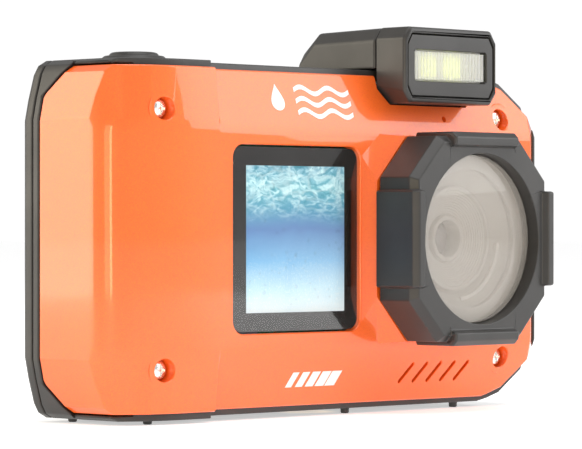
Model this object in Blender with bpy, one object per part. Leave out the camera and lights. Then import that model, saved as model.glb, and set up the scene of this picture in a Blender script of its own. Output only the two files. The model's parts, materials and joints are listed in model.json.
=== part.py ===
"""Rugged waterproof compact camera with a front screen, as separate pieces.

Millimetres in the tables below, metres in the scene. X runs along the body, the lens looks along -Y,
and Z is up. Heights are counted from the body's mid-plane, MID_HEIGHT above the table.
"""

import bpy
import bmesh
import numpy as np
from math import cos, pi, radians, sin
from mathutils import Matrix, Vector

MM = 0.001

# ---------------------------------------------------------------- driving sizes
MID_HEIGHT = 32.6           # mid-plane above the table
HALF_LENGTH = 56.55         # dark body, half of its length
GAP = 0.3                   # between a piece and the one it sits in
FIT = 0.12                  # between small pieces that are held closely
WALL = 2.0                  # front shell

SEAM_X = -33.3              # the grip's front bands end in a small step here
SEAM_STEP = 0.05
CREASE = 20.0               # the front face folds back above and below this height
FRONT_Y = -7.3              # middle face of the front shell
BAND_Y = -4.05              # where the folded bands reach the frame
BAND_TOP = 30.45
FRAME_REAR_Y = 16.6
COVER_FRONT_Y = 16.9
COVER_REAR_Y = 19.7
GRIP_WRAP_Y = 14.9          # the front shell wraps the grip's side back to here
GRIP_WRAP_CORNER = 25.5     # its rear corners are cut at 45 degrees from this height
GRIP_WALL_END = -50.0       # the wrap's top and bottom walls end here

LENS_X = 23.75
LAMP_X = 23.35
SCREW_XS = (-45.3, 43.5)
SCREW_HEIGHT = 23.0
SHUTTER_X, SHUTTER_Y = -41.0, 7.0
TRIPOD_X, TRIPOD_Y = 4.0, 7.8
DOOR_X = -28.5
DOOR_HINGE_Y, DOOR_HINGE_HEIGHT = 13.2, -31.2


# ---------------------------------------------------------------- scene and materials
for old in list(bpy.data.objects):
    bpy.data.objects.remove(old, do_unlink=True)


def material(name, colour, roughness, metallic=0.0, alpha=1.0):
    made = bpy.data.materials.new(name)
    made.use_nodes = True
    shader = made.node_tree.nodes["Principled BSDF"]
    shader.inputs["Base Color"].default_value = (*colour, 1.0)
    shader.inputs["Roughness"].default_value = roughness
    shader.inputs["Metallic"].default_value = metallic
    shader.inputs["Alpha"].default_value = alpha
    made.diffuse_color = (*colour, alpha)
    return made


ORANGE = material("orange_paint", (0.90, 0.16, 0.02), 0.25)
CHARCOAL = material("charcoal_plastic", (0.075, 0.072, 0.070), 0.50)
SOFT_BLACK = material("black_plastic", (0.02, 0.02, 0.021), 0.45)
RUBBER = material("black_rubber", (0.015, 0.015, 0.015), 0.80)
STEEL = material("bright_steel", (0.75, 0.74, 0.72), 0.25, 1.0)
BRASS = material("brass", (0.70, 0.52, 0.25), 0.35, 1.0)
CLEAR = material("clear_window", (0.80, 0.80, 0.78), 0.05, 0.0, 0.35)
DARK_GLASS = material("dark_glass", (0.01, 0.01, 0.012), 0.08)
PANEL = material("display_panel", (0.05, 0.25, 0.50), 0.30)
PALE_GREY = material("pale_grey_plastic", (0.50, 0.48, 0.44), 0.50)
BOARD = material("circuit_board", (0.02, 0.16, 0.07), 0.50)
SILICON = material("sensor_silicon", (0.10, 0.10, 0.16), 0.20, 0.3)
LED = material("led_phosphor", (0.80, 0.85, 0.15), 0.50)
WHITE = material("white_plastic", (0.80, 0.80, 0.80), 0.40)
CELL = material("battery_wrap", (0.12, 0.13, 0.15), 0.40)


# ---------------------------------------------------------------- building blocks
def at(x, y, height):
    """A point from millimetres, its height counted from the mid-plane."""
    return Vector((x, y, height + MID_HEIGHT)) * MM


def add(name, mesh_data, look, smooth=False):
    """Turns a bmesh into a named object."""
    if mesh_data.calc_volume(signed=True) < 0:
        bmesh.ops.reverse_faces(mesh_data, faces=mesh_data.faces)
    mesh = bpy.data.meshes.new(name)
    mesh_data.to_mesh(mesh)
    mesh_data.free()
    mesh.materials.append(look)
    if smooth:
        mesh.shade_smooth()
        mesh.set_sharp_from_angle(angle=radians(35))
    piece = bpy.data.objects.new(name, mesh)
    bpy.context.scene.collection.objects.link(piece)
    return piece


def loft(name, sections, look):
    """Skin over closed sections that hold the same number of points."""
    shape = bmesh.new()
    rings = [[shape.verts.new(point) for point in section] for section in sections]
    for ring, following in zip(rings, rings[1:]):
        for i in range(len(ring)):
            j = (i + 1) % len(ring)
            shape.faces.new((ring[i], ring[j], following[j], following[i]))
    bmesh.ops.triangulate(shape, faces=shape.faces)
    shape.faces.new(list(reversed(rings[0])))
    shape.faces.new(rings[-1])
    return add(name, shape, look)


def plate(name, outline, low_y, high_y, look):
    """An outline of (x, height) points, extruded along Y."""
    return loft(name, [[at(x, y, h) for x, h in outline] for y in (low_y, high_y)], look)


def block(name, xs, ys, heights, look):
    corners = [(xs[0], heights[0]), (xs[1], heights[0]), (xs[1], heights[1]), (xs[0], heights[1])]
    return plate(name, corners, ys[0], ys[1], look)


def turned(name, profile, centre, axis, look, sides=40):
    """A profile of (radius, distance along the axis) turned about an axis.

    centre holds the two coordinates across the axis. A profile that starts and ends on the axis makes a
    solid; one that stays off the axis closes on itself and makes a ring.
    """
    def place(radius, along, angle):
        a, b = radius * cos(angle) + centre[0], radius * sin(angle) + centre[1]
        return {"X": at(along, a, b), "Y": at(a, along, b), "Z": at(a, b, along)}[axis]

    shape = bmesh.new()
    rings = []
    for radius, along in profile:
        if radius == 0:
            rings.append([shape.verts.new(place(0, along, 0))])
        else:
            angles = [2 * pi * i / sides for i in range(sides)]
            rings.append([shape.verts.new(place(radius, along, angle)) for angle in angles])
    pairs = list(zip(rings, rings[1:]))
    if len(rings[0]) > 1:
        pairs.append((rings[-1], rings[0]))
    for ring, following in pairs:
        for i in range(sides):
            j = (i + 1) % sides
            near = [ring[i % len(ring)], ring[j % len(ring)]]
            far = [following[j % len(following)], following[i % len(following)]]
            shape.faces.new(list(dict.fromkeys(near + far)))
    return add(name, shape, look, smooth=True)


def rod(name, radius, low, high, centre, axis, look, sides=32):
    """A plain round bar along an axis."""
    return turned(name, [(0, low), (radius, low), (radius, high), (0, high)], centre, axis, look, sides)


def tube(name, outer, inner, low, high, centre, axis, look, sides=40):
    profile = [(inner, low), (outer, low), (outer, high), (inner, high)]
    return turned(name, profile, centre, axis, look, sides)


def combine(piece, operation, tools):
    for tool in tools:
        tool.hide_render = True
        tool.display_type = "WIRE"
        step = piece.modifiers.new(operation.lower(), "BOOLEAN")
        step.operation = operation
        step.object = tool


def cut(piece, *tools):
    combine(piece, "DIFFERENCE", tools)


def fuse(piece, *tools):
    combine(piece, "UNION", tools)


def span(centre, half):
    return (centre - half, centre + half)


def set_origin(piece, x, y, height):
    """Moves the object's origin and leaves its shape in place."""
    origin = at(x, y, height)
    piece.data.transform(Matrix.Translation(-origin))
    piece.location = origin


def rounded(half_width, half_height, radius, centre=(0, 0), steps=4):
    """A rectangle with round corners, as (x, height) points."""
    points = []
    for turn, (sx, sy) in enumerate(((1, 1), (-1, 1), (-1, -1), (1, -1))):
        for i in range(steps + 1):
            angle = pi / 2 * (turn + i / steps)
            points.append((
                centre[0] + sx * (half_width - radius) + radius * cos(angle),
                centre[1] + sy * (half_height - radius) + radius * sin(angle),
            ))
    return points


def octagon(half_width, half_height, cut_x, cut_height, centre=(0, 0), low_cut=None):
    """A rectangle with its corners cut off; low_cut is the (x, height) cut of the lower two."""
    low_x, low_height = low_cut or (cut_x, cut_height)
    right = [
        (half_width - low_x, -half_height),
        (half_width, low_height - half_height),
        (half_width, half_height - cut_height),
        (half_width - cut_x, half_height),
    ]
    points = right + [(-x, h) for x, h in reversed(right)]
    return [(x + centre[0], h + centre[1]) for x, h in points]


# ---------------------------------------------------------------- the body's form
def curve_points(points, steps):
    """A cubic Bezier curve, sampled."""
    p = [np.array(point) for point in points]
    return [
        tuple((1 - t) ** 3 * p[0] + 3 * (1 - t) ** 2 * t * p[1] + 3 * (1 - t) * t ** 2 * p[2] + t ** 3 * p[3])
        for t in np.linspace(0, 1, steps + 1)
    ]


SIDE_X = -56.35                       # the front shell's side face on the grip
SHELL_END_X = 55.45
END_SLOPE_X = 51.4                    # from here the front slopes back to the frame's end
RIM_X = SHELL_END_X + GAP             # the frame's rim at that end
CORNER_END = (-51.05, -4.1)           # the grip's round corner meets the gentle front curve
GRIP_SAG = CORNER_END[1] - FRONT_Y
GRIP_RUN = SEAM_X - CORNER_END[0]
CORNER_SLOPE = 2 * GRIP_SAG / GRIP_RUN

corner_handle = (-53.4, CORNER_END[1] + 2.35 * CORNER_SLOPE)
corner = curve_points([(SIDE_X, 2.0), (SIDE_X, -1.2), corner_handle, CORNER_END], 5)
sweep = [
    (x, FRONT_Y + GRIP_SAG * ((SEAM_X - x) / GRIP_RUN) ** 2)
    for x in np.linspace(CORNER_END[0], SEAM_X, 5)
]
MIDDLE_PLAN = corner + sweep[1:] + [(END_SLOPE_X, FRONT_Y), (SHELL_END_X, BAND_Y)]
GRIP_EDGE_PLAN = [
    (SIDE_X, 2.2), (-54.05, 0.4), (-52.95, -1.0), (-52.45, -1.8), (-48.15, -4.8), (-44.2, -5.8),
    (-40.25, -6.2), (SEAM_X, -6.3),
]
SHELL_HEIGHTS = [
    (SIDE_X, 21.0), (-55.45, 25.0), (-54.05, 29.5), (-52.95, 30.65), (SEAM_X, 30.65),
    (SEAM_X + SEAM_STEP, BAND_TOP), (40.5, BAND_TOP), (41.95, 30.2), (45.65, 29.1), (54.55, 21.5),
    (SHELL_END_X, 19.5),
]
FRAME_HEIGHTS = [
    (-HALF_LENGTH, 21.3), (-55.75, 25.0), (-54.45, 29.5), (-53.55, 31.0), (-51.85, 31.9), (SEAM_X, 31.9),
    (SEAM_X + SEAM_STEP, 31.6), (40.8, 31.6), (42.4, 31.3), (46.4, 30.1), (55.45, 22.2), (HALF_LENGTH, 19.8),
]


def follow(knots, x):
    return float(np.interp(x, [k[0] for k in knots], [k[1] for k in knots]))


def shell_edge_y(x):
    """Front of the front shell at its top and bottom edges."""
    if x <= SEAM_X:
        return follow(GRIP_EDGE_PLAN, x)
    slope = (BAND_Y - FRONT_Y) / (BAND_TOP - CREASE)
    band = FRONT_Y + slope * max(0.0, follow(SHELL_HEIGHTS, x) - CREASE)
    return max(band, follow(MIDDLE_PLAN, x))


def front_at(x, height):
    """Front surface of the front shell."""
    top = follow(SHELL_HEIGHTS, x)
    share = max(0.0, (abs(height) - CREASE) / (top - CREASE)) if top > CREASE else 0.0
    middle = follow(MIDDLE_PLAN, x)
    return middle + share * (shell_edge_y(x) - middle)


def stations(low, high):
    knots = {k[0] for k in MIDDLE_PLAN + GRIP_EDGE_PLAN + SHELL_HEIGHTS}
    return [low] + sorted(x for x in knots if low + 0.01 < x < high - 0.01) + [high]


def shell_section(x):
    """The front shell's outer form at x, wrapped back along the grip."""
    top = follow(SHELL_HEIGHTS, x)
    crease = min(CREASE, top - 0.8)
    rear = GRIP_WRAP_Y - max(0.0, top - GRIP_WRAP_CORNER)
    corner_height = min(GRIP_WRAP_CORNER, top - 0.4)
    half = [
        (follow(MIDDLE_PLAN, x), crease), (shell_edge_y(x), top), (rear, top), (GRIP_WRAP_Y, corner_height),
    ]
    return [at(x, y, h) for y, h in half] + [at(x, y, -h) for y, h in reversed(half)]


def behind_section(x, depth, edge_depth):
    """All that lies behind the front shell's plate at x, and a little beyond its edge."""
    top = follow(SHELL_HEIGHTS, x)
    crease = min(CREASE, top - 0.8)
    inner = follow(MIDDLE_PLAN, x) + depth
    edge = shell_edge_y(x) + edge_depth
    beyond = edge + (edge - inner) / (top - crease)
    half = [(inner, crease), (beyond, top + 1.0), (GRIP_WRAP_Y + 6, top + 1.0)]
    return [at(x, y, h) for y, h in half] + [at(x, y, -h) for y, h in reversed(half)]


def grip_room_section(x, inset, depth):
    """The hollow inside the wrapped grip at x."""
    top = min(follow(SHELL_HEIGHTS, x), follow(SHELL_HEIGHTS, -52.95)) - inset
    front = follow(MIDDLE_PLAN, x) + depth
    half = [(front, CREASE), (max(front, shell_edge_y(x) + depth), top), (GRIP_WRAP_Y + 6, top)]
    return [at(x, y, h) for y, h in half] + [at(x, y, -h) for y, h in reversed(half)]


def frame_section(x):
    """The dark frame's outer form at x, close behind the front shell's plate and its end."""
    top = follow(FRAME_HEIGHTS, x)
    nearest = max(SIDE_X, min(x, SHELL_END_X))
    middle, edge = follow(MIDDLE_PLAN, nearest) + WALL + GAP, shell_edge_y(nearest) + 1.3
    if x > RIM_X:
        middle = edge = BAND_Y
    half = [(middle, min(CREASE, top - 0.8)), (edge, top), (FRAME_REAR_Y, top)]
    return [at(x, y, h) for y, h in half] + [at(x, y, -h) for y, h in reversed(half)]


def frame_outline(inset=0.0):
    upper = [(x * (1 - inset / HALF_LENGTH), h * (1 - inset / 31.6)) for x, h in FRAME_HEIGHTS]
    return upper + [(x, -h) for x, h in reversed(upper)]


def room_outline(grow=0.0):
    """The hollow of the mid frame; it narrows inside the grip's wrapped end."""
    upper = [
        (-52.45 - grow, 26.8 + grow), (-49.2 - grow, 26.8 + grow), (-49.2 - grow, 29.6 + grow),
        (44.0 + 0.4 * grow, 29.6 + grow), (51.5 + grow, 23.5 + 0.4 * grow),
    ]
    return upper + [(x, -h) for x, h in reversed(upper)]


# ---------------------------------------------------------------- front shell
def lens_plinth():
    """Raised eight-sided seat for the lens housing."""
    base = octagon(20.55, 19.5, 4.9, 4.1, (LENS_X, 0))
    top = octagon(19.3, 19.2, 7.9, 8.5, (LENS_X, 0))
    levels = ((FRONT_Y + 1.0, base), (FRONT_Y, base), (FRONT_Y - 2.7, top))
    return loft("lens_plinth_form", [[at(x, y, h) for x, h in ring] for y, ring in levels], ORANGE)


def make_front_shell():
    shell = loft("front_shell", [shell_section(x) for x in stations(SIDE_X, SHELL_END_X)], ORANGE)
    room_xs = stations(SIDE_X + WALL, GRIP_WALL_END + 0.1)
    grip_room = loft("grip_room", [grip_room_section(x, WALL, WALL - 0.1) for x in room_xs], ORANGE)
    rest_xs = stations(GRIP_WALL_END, SHELL_END_X) + [SHELL_END_X + 2]
    plate_back = loft("plate_back", [behind_section(x, WALL, 0.8) for x in rest_xs], ORANGE)
    cut(shell, grip_room, plate_back)
    fuse(shell, lens_plinth())
    for x in SCREW_XS:
        for side in (-1, 1):
            height = side * SCREW_HEIGHT
            face = front_at(x, height)
            fuse(shell, rod("screw_boss", 3.2, face + 0.7, face + 4.6, (x, height), "Y", ORANGE, 24))
    for x in SCREW_XS:
        for side in (-1, 1):
            height = side * SCREW_HEIGHT
            face = front_at(x, height)
            pocket = [
                (0, face - 3), (2.0, face - 3), (2.0, face + 2.6),
                (1.1, face + 2.6), (1.1, face + 6), (0, face + 6),
            ]
            cut(shell, turned("screw_pocket", pocket, (x, height), "Y", ORANGE, 24))
    cut(
        shell,
        plate("display_hole", rounded(16.45, 16.97, 2.5, (-13.6, 0)), FRONT_Y - 2, FRONT_Y + 4, ORANGE),
        rod("lens_hole", 15.0, -12, 0, (LENS_X, 0), "Y", ORANGE, 48),
        plate("lamp_notch", octagon(13.3, 8.0, 1.6, 2.4, (LAMP_X, 33.1), (2.6, 2.9)), -14, 0, ORANGE),
        rod("microphone_hole", 0.55, -10, 0, (26.95, 22.7), "Y", ORANGE, 12),
    )
    for i in range(5):
        x = 17.2 + 3.89 * i
        slot = [(x - 1.9, -27.0), (x - 1.15, -27.0), (x + 1.9, -23.5), (x + 1.15, -23.5)]
        cut(shell, plate("speaker_slot", slot, -10, 0, ORANGE))


# ---------------------------------------------------------------- frame and rear cover
def make_mid_frame():
    xs = {k[0] for k in FRAME_HEIGHTS + GRIP_EDGE_PLAN if abs(k[0]) <= HALF_LENGTH}
    xs |= {END_SLOPE_X, RIM_X, RIM_X + SEAM_STEP}
    frame = loft("mid_frame", [frame_section(x) for x in sorted(xs)], CHARCOAL)

    # room for the front shell's wrapped end, less the frame's own wall inside it
    wrap_top = 30.95
    side = [(-60, wrap_top), (GRIP_WALL_END + GAP, wrap_top)]
    wrap = plate("wrap_room", side + [(x, -h) for x, h in reversed(side)], -20, 9.6 + GAP, CHARCOAL)
    end = [(-60, 40), (-53.0, 40)]
    wrap_end = plate("wrap_end", end + [(x, -h) for x, h in reversed(end)], -20, 9.6 + GAP, CHARCOAL)
    rear_half = [(9.6, 31.3), (9.6 + GAP, wrap_top), (GRIP_WRAP_Y + GAP, GRIP_WRAP_CORNER + 0.2)]
    wrap_rear = loft("wrap_rear", [
        [at(x, y, h) for y, h in rear_half] + [at(x, y, -h) for y, h in reversed(rear_half)]
        for x in (-60, GRIP_WALL_END + GAP)
    ], CHARCOAL)
    inner_xs = stations(SIDE_X + WALL + GAP, GRIP_WALL_END + 1.5)
    inner = loft("wall_room", [grip_room_section(x, WALL + GAP, WALL + 2 * GAP) for x in inner_xs], CHARCOAL)
    fuse(wrap, wrap_end, wrap_rear)
    cut(wrap, inner)
    cut(frame, wrap)
    cut(frame, plate("frame_room", room_outline(), -30, 30, CHARCOAL))
    cut(frame, plate("gasket_seat", room_outline(0.9), FRAME_REAR_Y - 0.9, 20, CHARCOAL))

    for x in SCREW_XS:
        for side_sign in (-1, 1):
            height = side_sign * SCREW_HEIGHT
            reach = side_sign * 30.4
            post_front = front_at(x, height) + 4.9
            web_x = x - 1.8 if x < 0 else x
            web = block("post_web", span(web_x, 0.6), (2.0, 7.7), sorted((height, reach)), CHARCOAL)
            fuse(frame, rod("screw_post", 2.6, post_front, 8, (x, height), "Y", CHARCOAL, 22), web)
            cut(frame, rod("post_hole", 1.05, post_front - 1, 7, (x, height), "Y", CHARCOAL, 16))

    front_nubs = [(x, -1.3) for x in (-45.45, 4.95, 35.25)]
    rear_nubs = [(x, 13.9) for x in (-49.5, 4.95, 35.25)]
    for x, y in front_nubs + rear_nubs:
        fuse(frame, rod("foot_nub", 0.8, -MID_HEIGHT, -31.0, (x, y), "Z", CHARCOAL, 16))

    fuse(frame, rod("tripod_boss", 6.2, -31.4, -25.4, (TRIPOD_X, TRIPOD_Y), "Z", CHARCOAL, 32))
    hinge = (DOOR_HINGE_Y, DOOR_HINGE_HEIGHT)
    cut(
        frame,
        rod("tripod_hole", 5.0 + FIT, -33, -26.4, (TRIPOD_X, TRIPOD_Y), "Z", CHARCOAL, 32),
        rod("shutter_hole", 5.2, 27, 33, (SHUTTER_X, SHUTTER_Y), "Z", CHARCOAL, 40),
        rod("power_hole", 3.15, 27, 33, (-14, 5.5), "Z", CHARCOAL, 32),
        block("strap_slot", (52.7, 60), (3.5, 11.5), (-6, 6), CHARCOAL),
        block("door_recess", span(DOOR_X, 17.0), (0.5, 12.9), (-34, -30.1), CHARCOAL),
        block("door_opening", span(DOOR_X, 15.5), (2.0, 12.0), (-32, -28), CHARCOAL),
        block("hinge_room", span(DOOR_X, 5.6), (12, 14.5), (-34, DOOR_HINGE_HEIGHT), CHARCOAL),
        rod("hinge_clearance", 1.3, *span(DOOR_X, 5.6), hinge, "X", CHARCOAL, 24),
    )
    for low, high in (span(DOOR_X - 6.4, 0.8), span(DOOR_X + 6.4, 0.8)):
        ear = rod("hinge_ear", 1.1, low, high, hinge, "X", CHARCOAL, 20)
        web = block("ear_web", (low, high), (12.9, 14.0), (DOOR_HINGE_HEIGHT, -30.0), CHARCOAL)
        fuse(frame, ear, web)
    cut(frame, rod("pin_hole", 0.62, *span(DOOR_X, 7.0), hinge, "X", CHARCOAL, 16))
    for height in (-4.6, 4.6):
        cut(frame, rod("bar_socket", 0.72, height - 2.2, height + 2.2, (55.1, 7.5), "Z", CHARCOAL, 12))


BUTTONS = {
    "mode_button": (-44.0, 11.0, 2.7),
    "playback_button": (-28.0, 11.0, 2.7),
    "menu_button": (-44.0, -17.0, 2.7),
    "delete_button": (-28.0, -17.0, 2.7),
    "display_switch_button": (-36.0, -22.5, 2.7),
    "ok_button": (-36.0, -3.0, 3.0),
}
PAD_OUTER, PAD_INNER = 8.8, 4.4
ROCKER_X, ROCKER_HEIGHT = -36.0, 20.5
REAR_GLASS = dict(centre=(15.0, 0.0), half=(34.0, 25.6))


def make_rear_cover():
    levels = ((COVER_FRONT_Y, 0), (COVER_REAR_Y - 1.2, 0), (COVER_REAR_Y - 0.35, 0.45), (COVER_REAR_Y, 1.3))
    rings = [[at(x, y, h) for x, h in frame_outline(inset)] for y, inset in levels]
    cover = loft("rear_cover", rings, CHARCOAL)
    cx, ch = REAR_GLASS["centre"]
    half_x, half_h = REAR_GLASS["half"]
    cut(
        cover,
        plate("cover_room", room_outline(), COVER_FRONT_Y - 2, COVER_REAR_Y - 2.0, CHARCOAL),
        plate("glass_seat", rounded(half_x + 0.25, half_h + 0.25, 2.2, (cx, ch)), 18.0, 22, CHARCOAL),
        plate("panel_window", rounded(half_x - 2.5, half_h - 2.5, 1.0, (cx, ch)), 15, 19, CHARCOAL),
        rod("pad_hole", PAD_OUTER + 0.25, 15, 22, (-36, -3), "Y", CHARCOAL, 48),
        plate("rocker_hole", rounded(8.3, 3.3, 3.0, (ROCKER_X, ROCKER_HEIGHT)), 15, 22, CHARCOAL),
    )
    for name, (x, height, radius) in BUTTONS.items():
        if name != "ok_button":
            cut(cover, rod(name + "_hole", radius + 0.3, 15, 22, (x, height), "Y", CHARCOAL, 20))


def ring_plate(name, outer, inner, low_y, high_y, look):
    """A band between two outlines with the same number of points."""
    shape = bmesh.new()
    loops = ((outer, low_y), (outer, high_y), (inner, high_y), (inner, low_y))
    rings = [[shape.verts.new(at(x, y, h)) for x, h in outline] for outline, y in loops]
    for ring, following in zip(rings, rings[1:] + rings[:1]):
        for i in range(len(ring)):
            j = (i + 1) % len(ring)
            shape.faces.new((ring[i], ring[j], following[j], following[i]))
    return add(name, shape, look)


def make_gaskets():
    ring_plate("front_gasket", room_outline(-0.3), room_outline(-1.1), 0.1, 1.3, RUBBER)
    rear_ys = (FRAME_REAR_Y - 0.7, FRAME_REAR_Y + 0.15)
    ring_plate("rear_gasket", room_outline(0.7), room_outline(0.0), *rear_ys, RUBBER)


def make_case_screws():
    number = 1
    for x in SCREW_XS:
        for side in (1, -1):
            height = side * SCREW_HEIGHT
            seat = front_at(x, height) + 2.6 - FIT
            profile = [
                (0, seat - 1.35), (1.3, seat - 1.35), (1.7, seat - 1.05), (1.7, seat), (0.9, seat),
                (0.9, seat + 6.2), (0, seat + 6.6),
            ]
            screw = turned(f"case_screw_{number}", profile, (x, height), "Y", STEEL, 24)
            for half_x, half_h in ((1.15, 0.22), (0.22, 1.15)):
                slot_ys = (seat - 2, seat - 0.75)
                cut(screw, block("drive_slot", span(x, half_x), slot_ys, span(height, half_h), STEEL))
            number += 1


# ---------------------------------------------------------------- screens
def make_screens():
    glass = rounded(16.15, 16.67, 2.2, (-13.6, 0))
    plate("front_display_glass", glass, FRONT_Y + 0.35, FRONT_Y + 1.55, DARK_GLASS)
    block("front_display_panel", (-28.9, 1.6), (FRONT_Y + 2.3, FRONT_Y + 4.6), (-15.2, 15.2), PANEL)
    cx, ch = REAR_GLASS["centre"]
    half_x, half_h = REAR_GLASS["half"]
    glass = rounded(half_x, half_h, 2.0, (cx, ch))
    plate("rear_display_glass", glass, 18.25, COVER_REAR_Y - 0.05, DARK_GLASS)
    block("rear_display_panel", (cx - 31, cx + 31), (14.6, 17.2), (ch - 22.4, ch + 22.4), PANEL)


# ---------------------------------------------------------------- lens
HOUSING_BACK, HOUSING_FRONT, PAD_FRONT = -10.3, -19.2, -20.5


def make_lens_housing():
    levels = ((HOUSING_BACK, 0.0), (HOUSING_FRONT + 0.5, 0.3), (HOUSING_FRONT, 0.7))
    rings = []
    for y, inset in levels:
        ring = octagon(18.9 - inset, 19.1 - inset, 7.5 - 0.4 * inset, 7.7 - 0.4 * inset, (LENS_X, 0))
        rings.append([at(x, y, h) for x, h in ring])
    housing = loft("lens_housing", rings, CHARCOAL)
    for side in (-1, 1):
        outer, inner = 19.9 * side, 16.9 * side
        half_lug = [(9.0, inner), (9.0, 19.2 * side), (8.4, outer)]
        lug = half_lug + [(-along, out) for along, out in reversed(half_lug)]
        upright = [(LENS_X + along, out) for along, out in lug]
        sideways = [(LENS_X + out, along) for along, out in lug]
        for name, outline in (("upright_lug", upright), ("side_lug", sideways)):
            fuse(housing, plate(name, outline, PAD_FRONT, HOUSING_BACK, CHARCOAL))
    bore = [(0, -25), (16.0, -25), (16.0, -13.6), (14.5, -13.6), (14.5, -8), (0, -8)]
    cut(housing, turned("housing_bore", bore, (LENS_X, 0), "Y", CHARCOAL, 64))


def make_lens():
    centre = (LENS_X, 0)
    rod("lens_window", 15.8, -16.8, -15.6, centre, "Y", CLEAR, 48)
    tube("lens_bezel", 15.8, 13.0, -15.45, -14.5, centre, "Y", PALE_GREY, 48)
    tube("window_seal", 15.8, 14.7, -14.35, -13.75, centre, "Y", RUBBER, 40)

    steps = 4
    mouth, throat, front, floor = 12.9, 4.4, -14.3, -9.2
    inside = []
    for i in range(steps):
        radius = mouth + (throat - mouth) * i / steps
        following = mouth + (throat - mouth) * (i + 1) / steps
        y = front + (floor - front) * (i + 1) / steps
        inside += [(radius, y), (following, y)]
    back = [(throat, -8.4), (3.5, -8.4), (3.5, -7.0), (14.2, -7.0), (14.2, front)]
    turned("lens_barrel", [(mouth, front)] + inside + back, centre, "Y", PALE_GREY, 36)

    element = [(0, -8.3), (1.6, -8.2), (3.2, -7.6), (3.2, -7.1), (0, -7.1)]
    turned("front_element", element, centre, "Y", CLEAR, 32)
    tube("lens_tube", 5.2, 3.5, -6.8, 2.0, centre, "Y", SOFT_BLACK, 32)
    element = [(0, -3.4), (2.0, -3.2), (3.3, -2.6), (3.3, -1.8), (0, -1.8)]
    turned("rear_element", element, centre, "Y", CLEAR, 24)
    block("image_sensor", span(LENS_X, 3.6), (2.3, 3.2), (-2.9, 2.9), SILICON)
    block("sensor_board", span(LENS_X, 8.5), (3.4, 4.4), (-8.5, 8.5), BOARD)


# ---------------------------------------------------------------- lamp
LAMP_MIDDLE, LAMP_HALF_X, LAMP_HALF_H = 32.5, 13.0, 7.1
LAMP_FRONT, LAMP_SEAM = -11.65, -4.05
LAMP_UPPER_CUT = (1.5, 2.2)


def lamp_outline(inset, low_cut):
    half_x, half_h = LAMP_HALF_X - inset, LAMP_HALF_H - inset
    return octagon(half_x, half_h, *LAMP_UPPER_CUT, (LAMP_X, LAMP_MIDDLE), low_cut)


def make_lamp():
    levels = (
        (LAMP_FRONT, 0.45, (1.5, 1.9)),
        (LAMP_FRONT + 0.45, 0, (1.6, 2.1)),
        (LAMP_SEAM - 0.15, 0, (3.0, 3.3)),
    )
    rings = [[at(x, y, h) for x, h in lamp_outline(inset, low)] for y, inset, low in levels]
    front = loft("lamp_front_housing", rings, CHARCOAL)
    bezel_middle = (LAMP_X + 0.1, 32.45)
    cut(
        front,
        plate("bezel_seat", octagon(12.2, 5.95, 1.2, 1.9, bezel_middle), -14, -10.4, CHARCOAL),
        block("lamp_room", span(LAMP_X, 11), (-12, 0), (28.0, 37.0), CHARCOAL),
    )

    side = [(LAMP_SEAM + 0.15, 39.55), (11.9, 39.2), (16.2, 35.4)]
    base = 31.9
    rings = []
    for y, top in side:
        rise = top - base
        cut_x, cut_h = 1.6, min(2.4, rise - 1.0)
        half = [(LAMP_HALF_X, base), (LAMP_HALF_X, top - cut_h), (LAMP_HALF_X - cut_x, top)]
        ring = half + [(-x, h) for x, h in reversed(half)]
        rings.append([at(x + LAMP_X, y, h) for x, h in ring])
    rear = loft("lamp_rear_housing", rings, CHARCOAL)
    cut(rear, block("lamp_rear_room", span(LAMP_X, 11), (-6, 10.5), (31, 37.4), CHARCOAL))

    window = (LAMP_X + 0.1, 32.45)
    bezel = plate("lamp_bezel", octagon(11.95, 5.7, 1.2, 1.9, bezel_middle), -11.45, -10.55, CHARCOAL)
    cut(bezel, plate("window_hole", rounded(10.08, 2.92, 0.6, window), -14, -8, CHARCOAL))
    plate("lamp_lens", rounded(9.9, 2.75, 0.5, window), -11.3, -9.9, CLEAR)
    tray = block("lamp_reflector", span(LAMP_X, 10.3), (-9.7, -7.7), (29.2, 35.7), WHITE)
    cut(tray, block("tray_room", span(LAMP_X, 9.6), (-11, -8.3), (29.9, 35.0), WHITE))
    for name, x in (("led_left", LAMP_X - 3.35), ("led_right", LAMP_X + 3.35)):
        block(name, span(x, 1.9), (-9.1, -8.42), (30.6, 34.3), LED)
    block("lamp_board", span(LAMP_X, 10.3), (-7.5, -6.5), (28.6, 36.4), BOARD)


# ---------------------------------------------------------------- controls
def helix(name, radius, wire, low, high, turns, centre, look):
    """A round-wire spring along Z, as one closed tube."""
    shape = bmesh.new()
    around, along = 5, turns * 12
    rings = []
    for i in range(along + 1):
        angle = 2 * pi * turns * i / along
        height = low + wire + (high - low - 2 * wire) * i / along
        ring = []
        for j in range(around):
            turn = 2 * pi * j / around
            reach = radius + wire * cos(turn)
            x, y = centre[0] + reach * cos(angle), centre[1] + reach * sin(angle)
            ring.append(shape.verts.new(at(x, y, height + wire * sin(turn))))
        rings.append(ring)
    for ring, following in zip(rings, rings[1:]):
        for j in range(around):
            k = (j + 1) % around
            shape.faces.new((ring[j], ring[k], following[k], following[j]))
    shape.faces.new(list(reversed(rings[0])))
    shape.faces.new(rings[-1])
    return add(name, shape, look, smooth=True)


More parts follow.
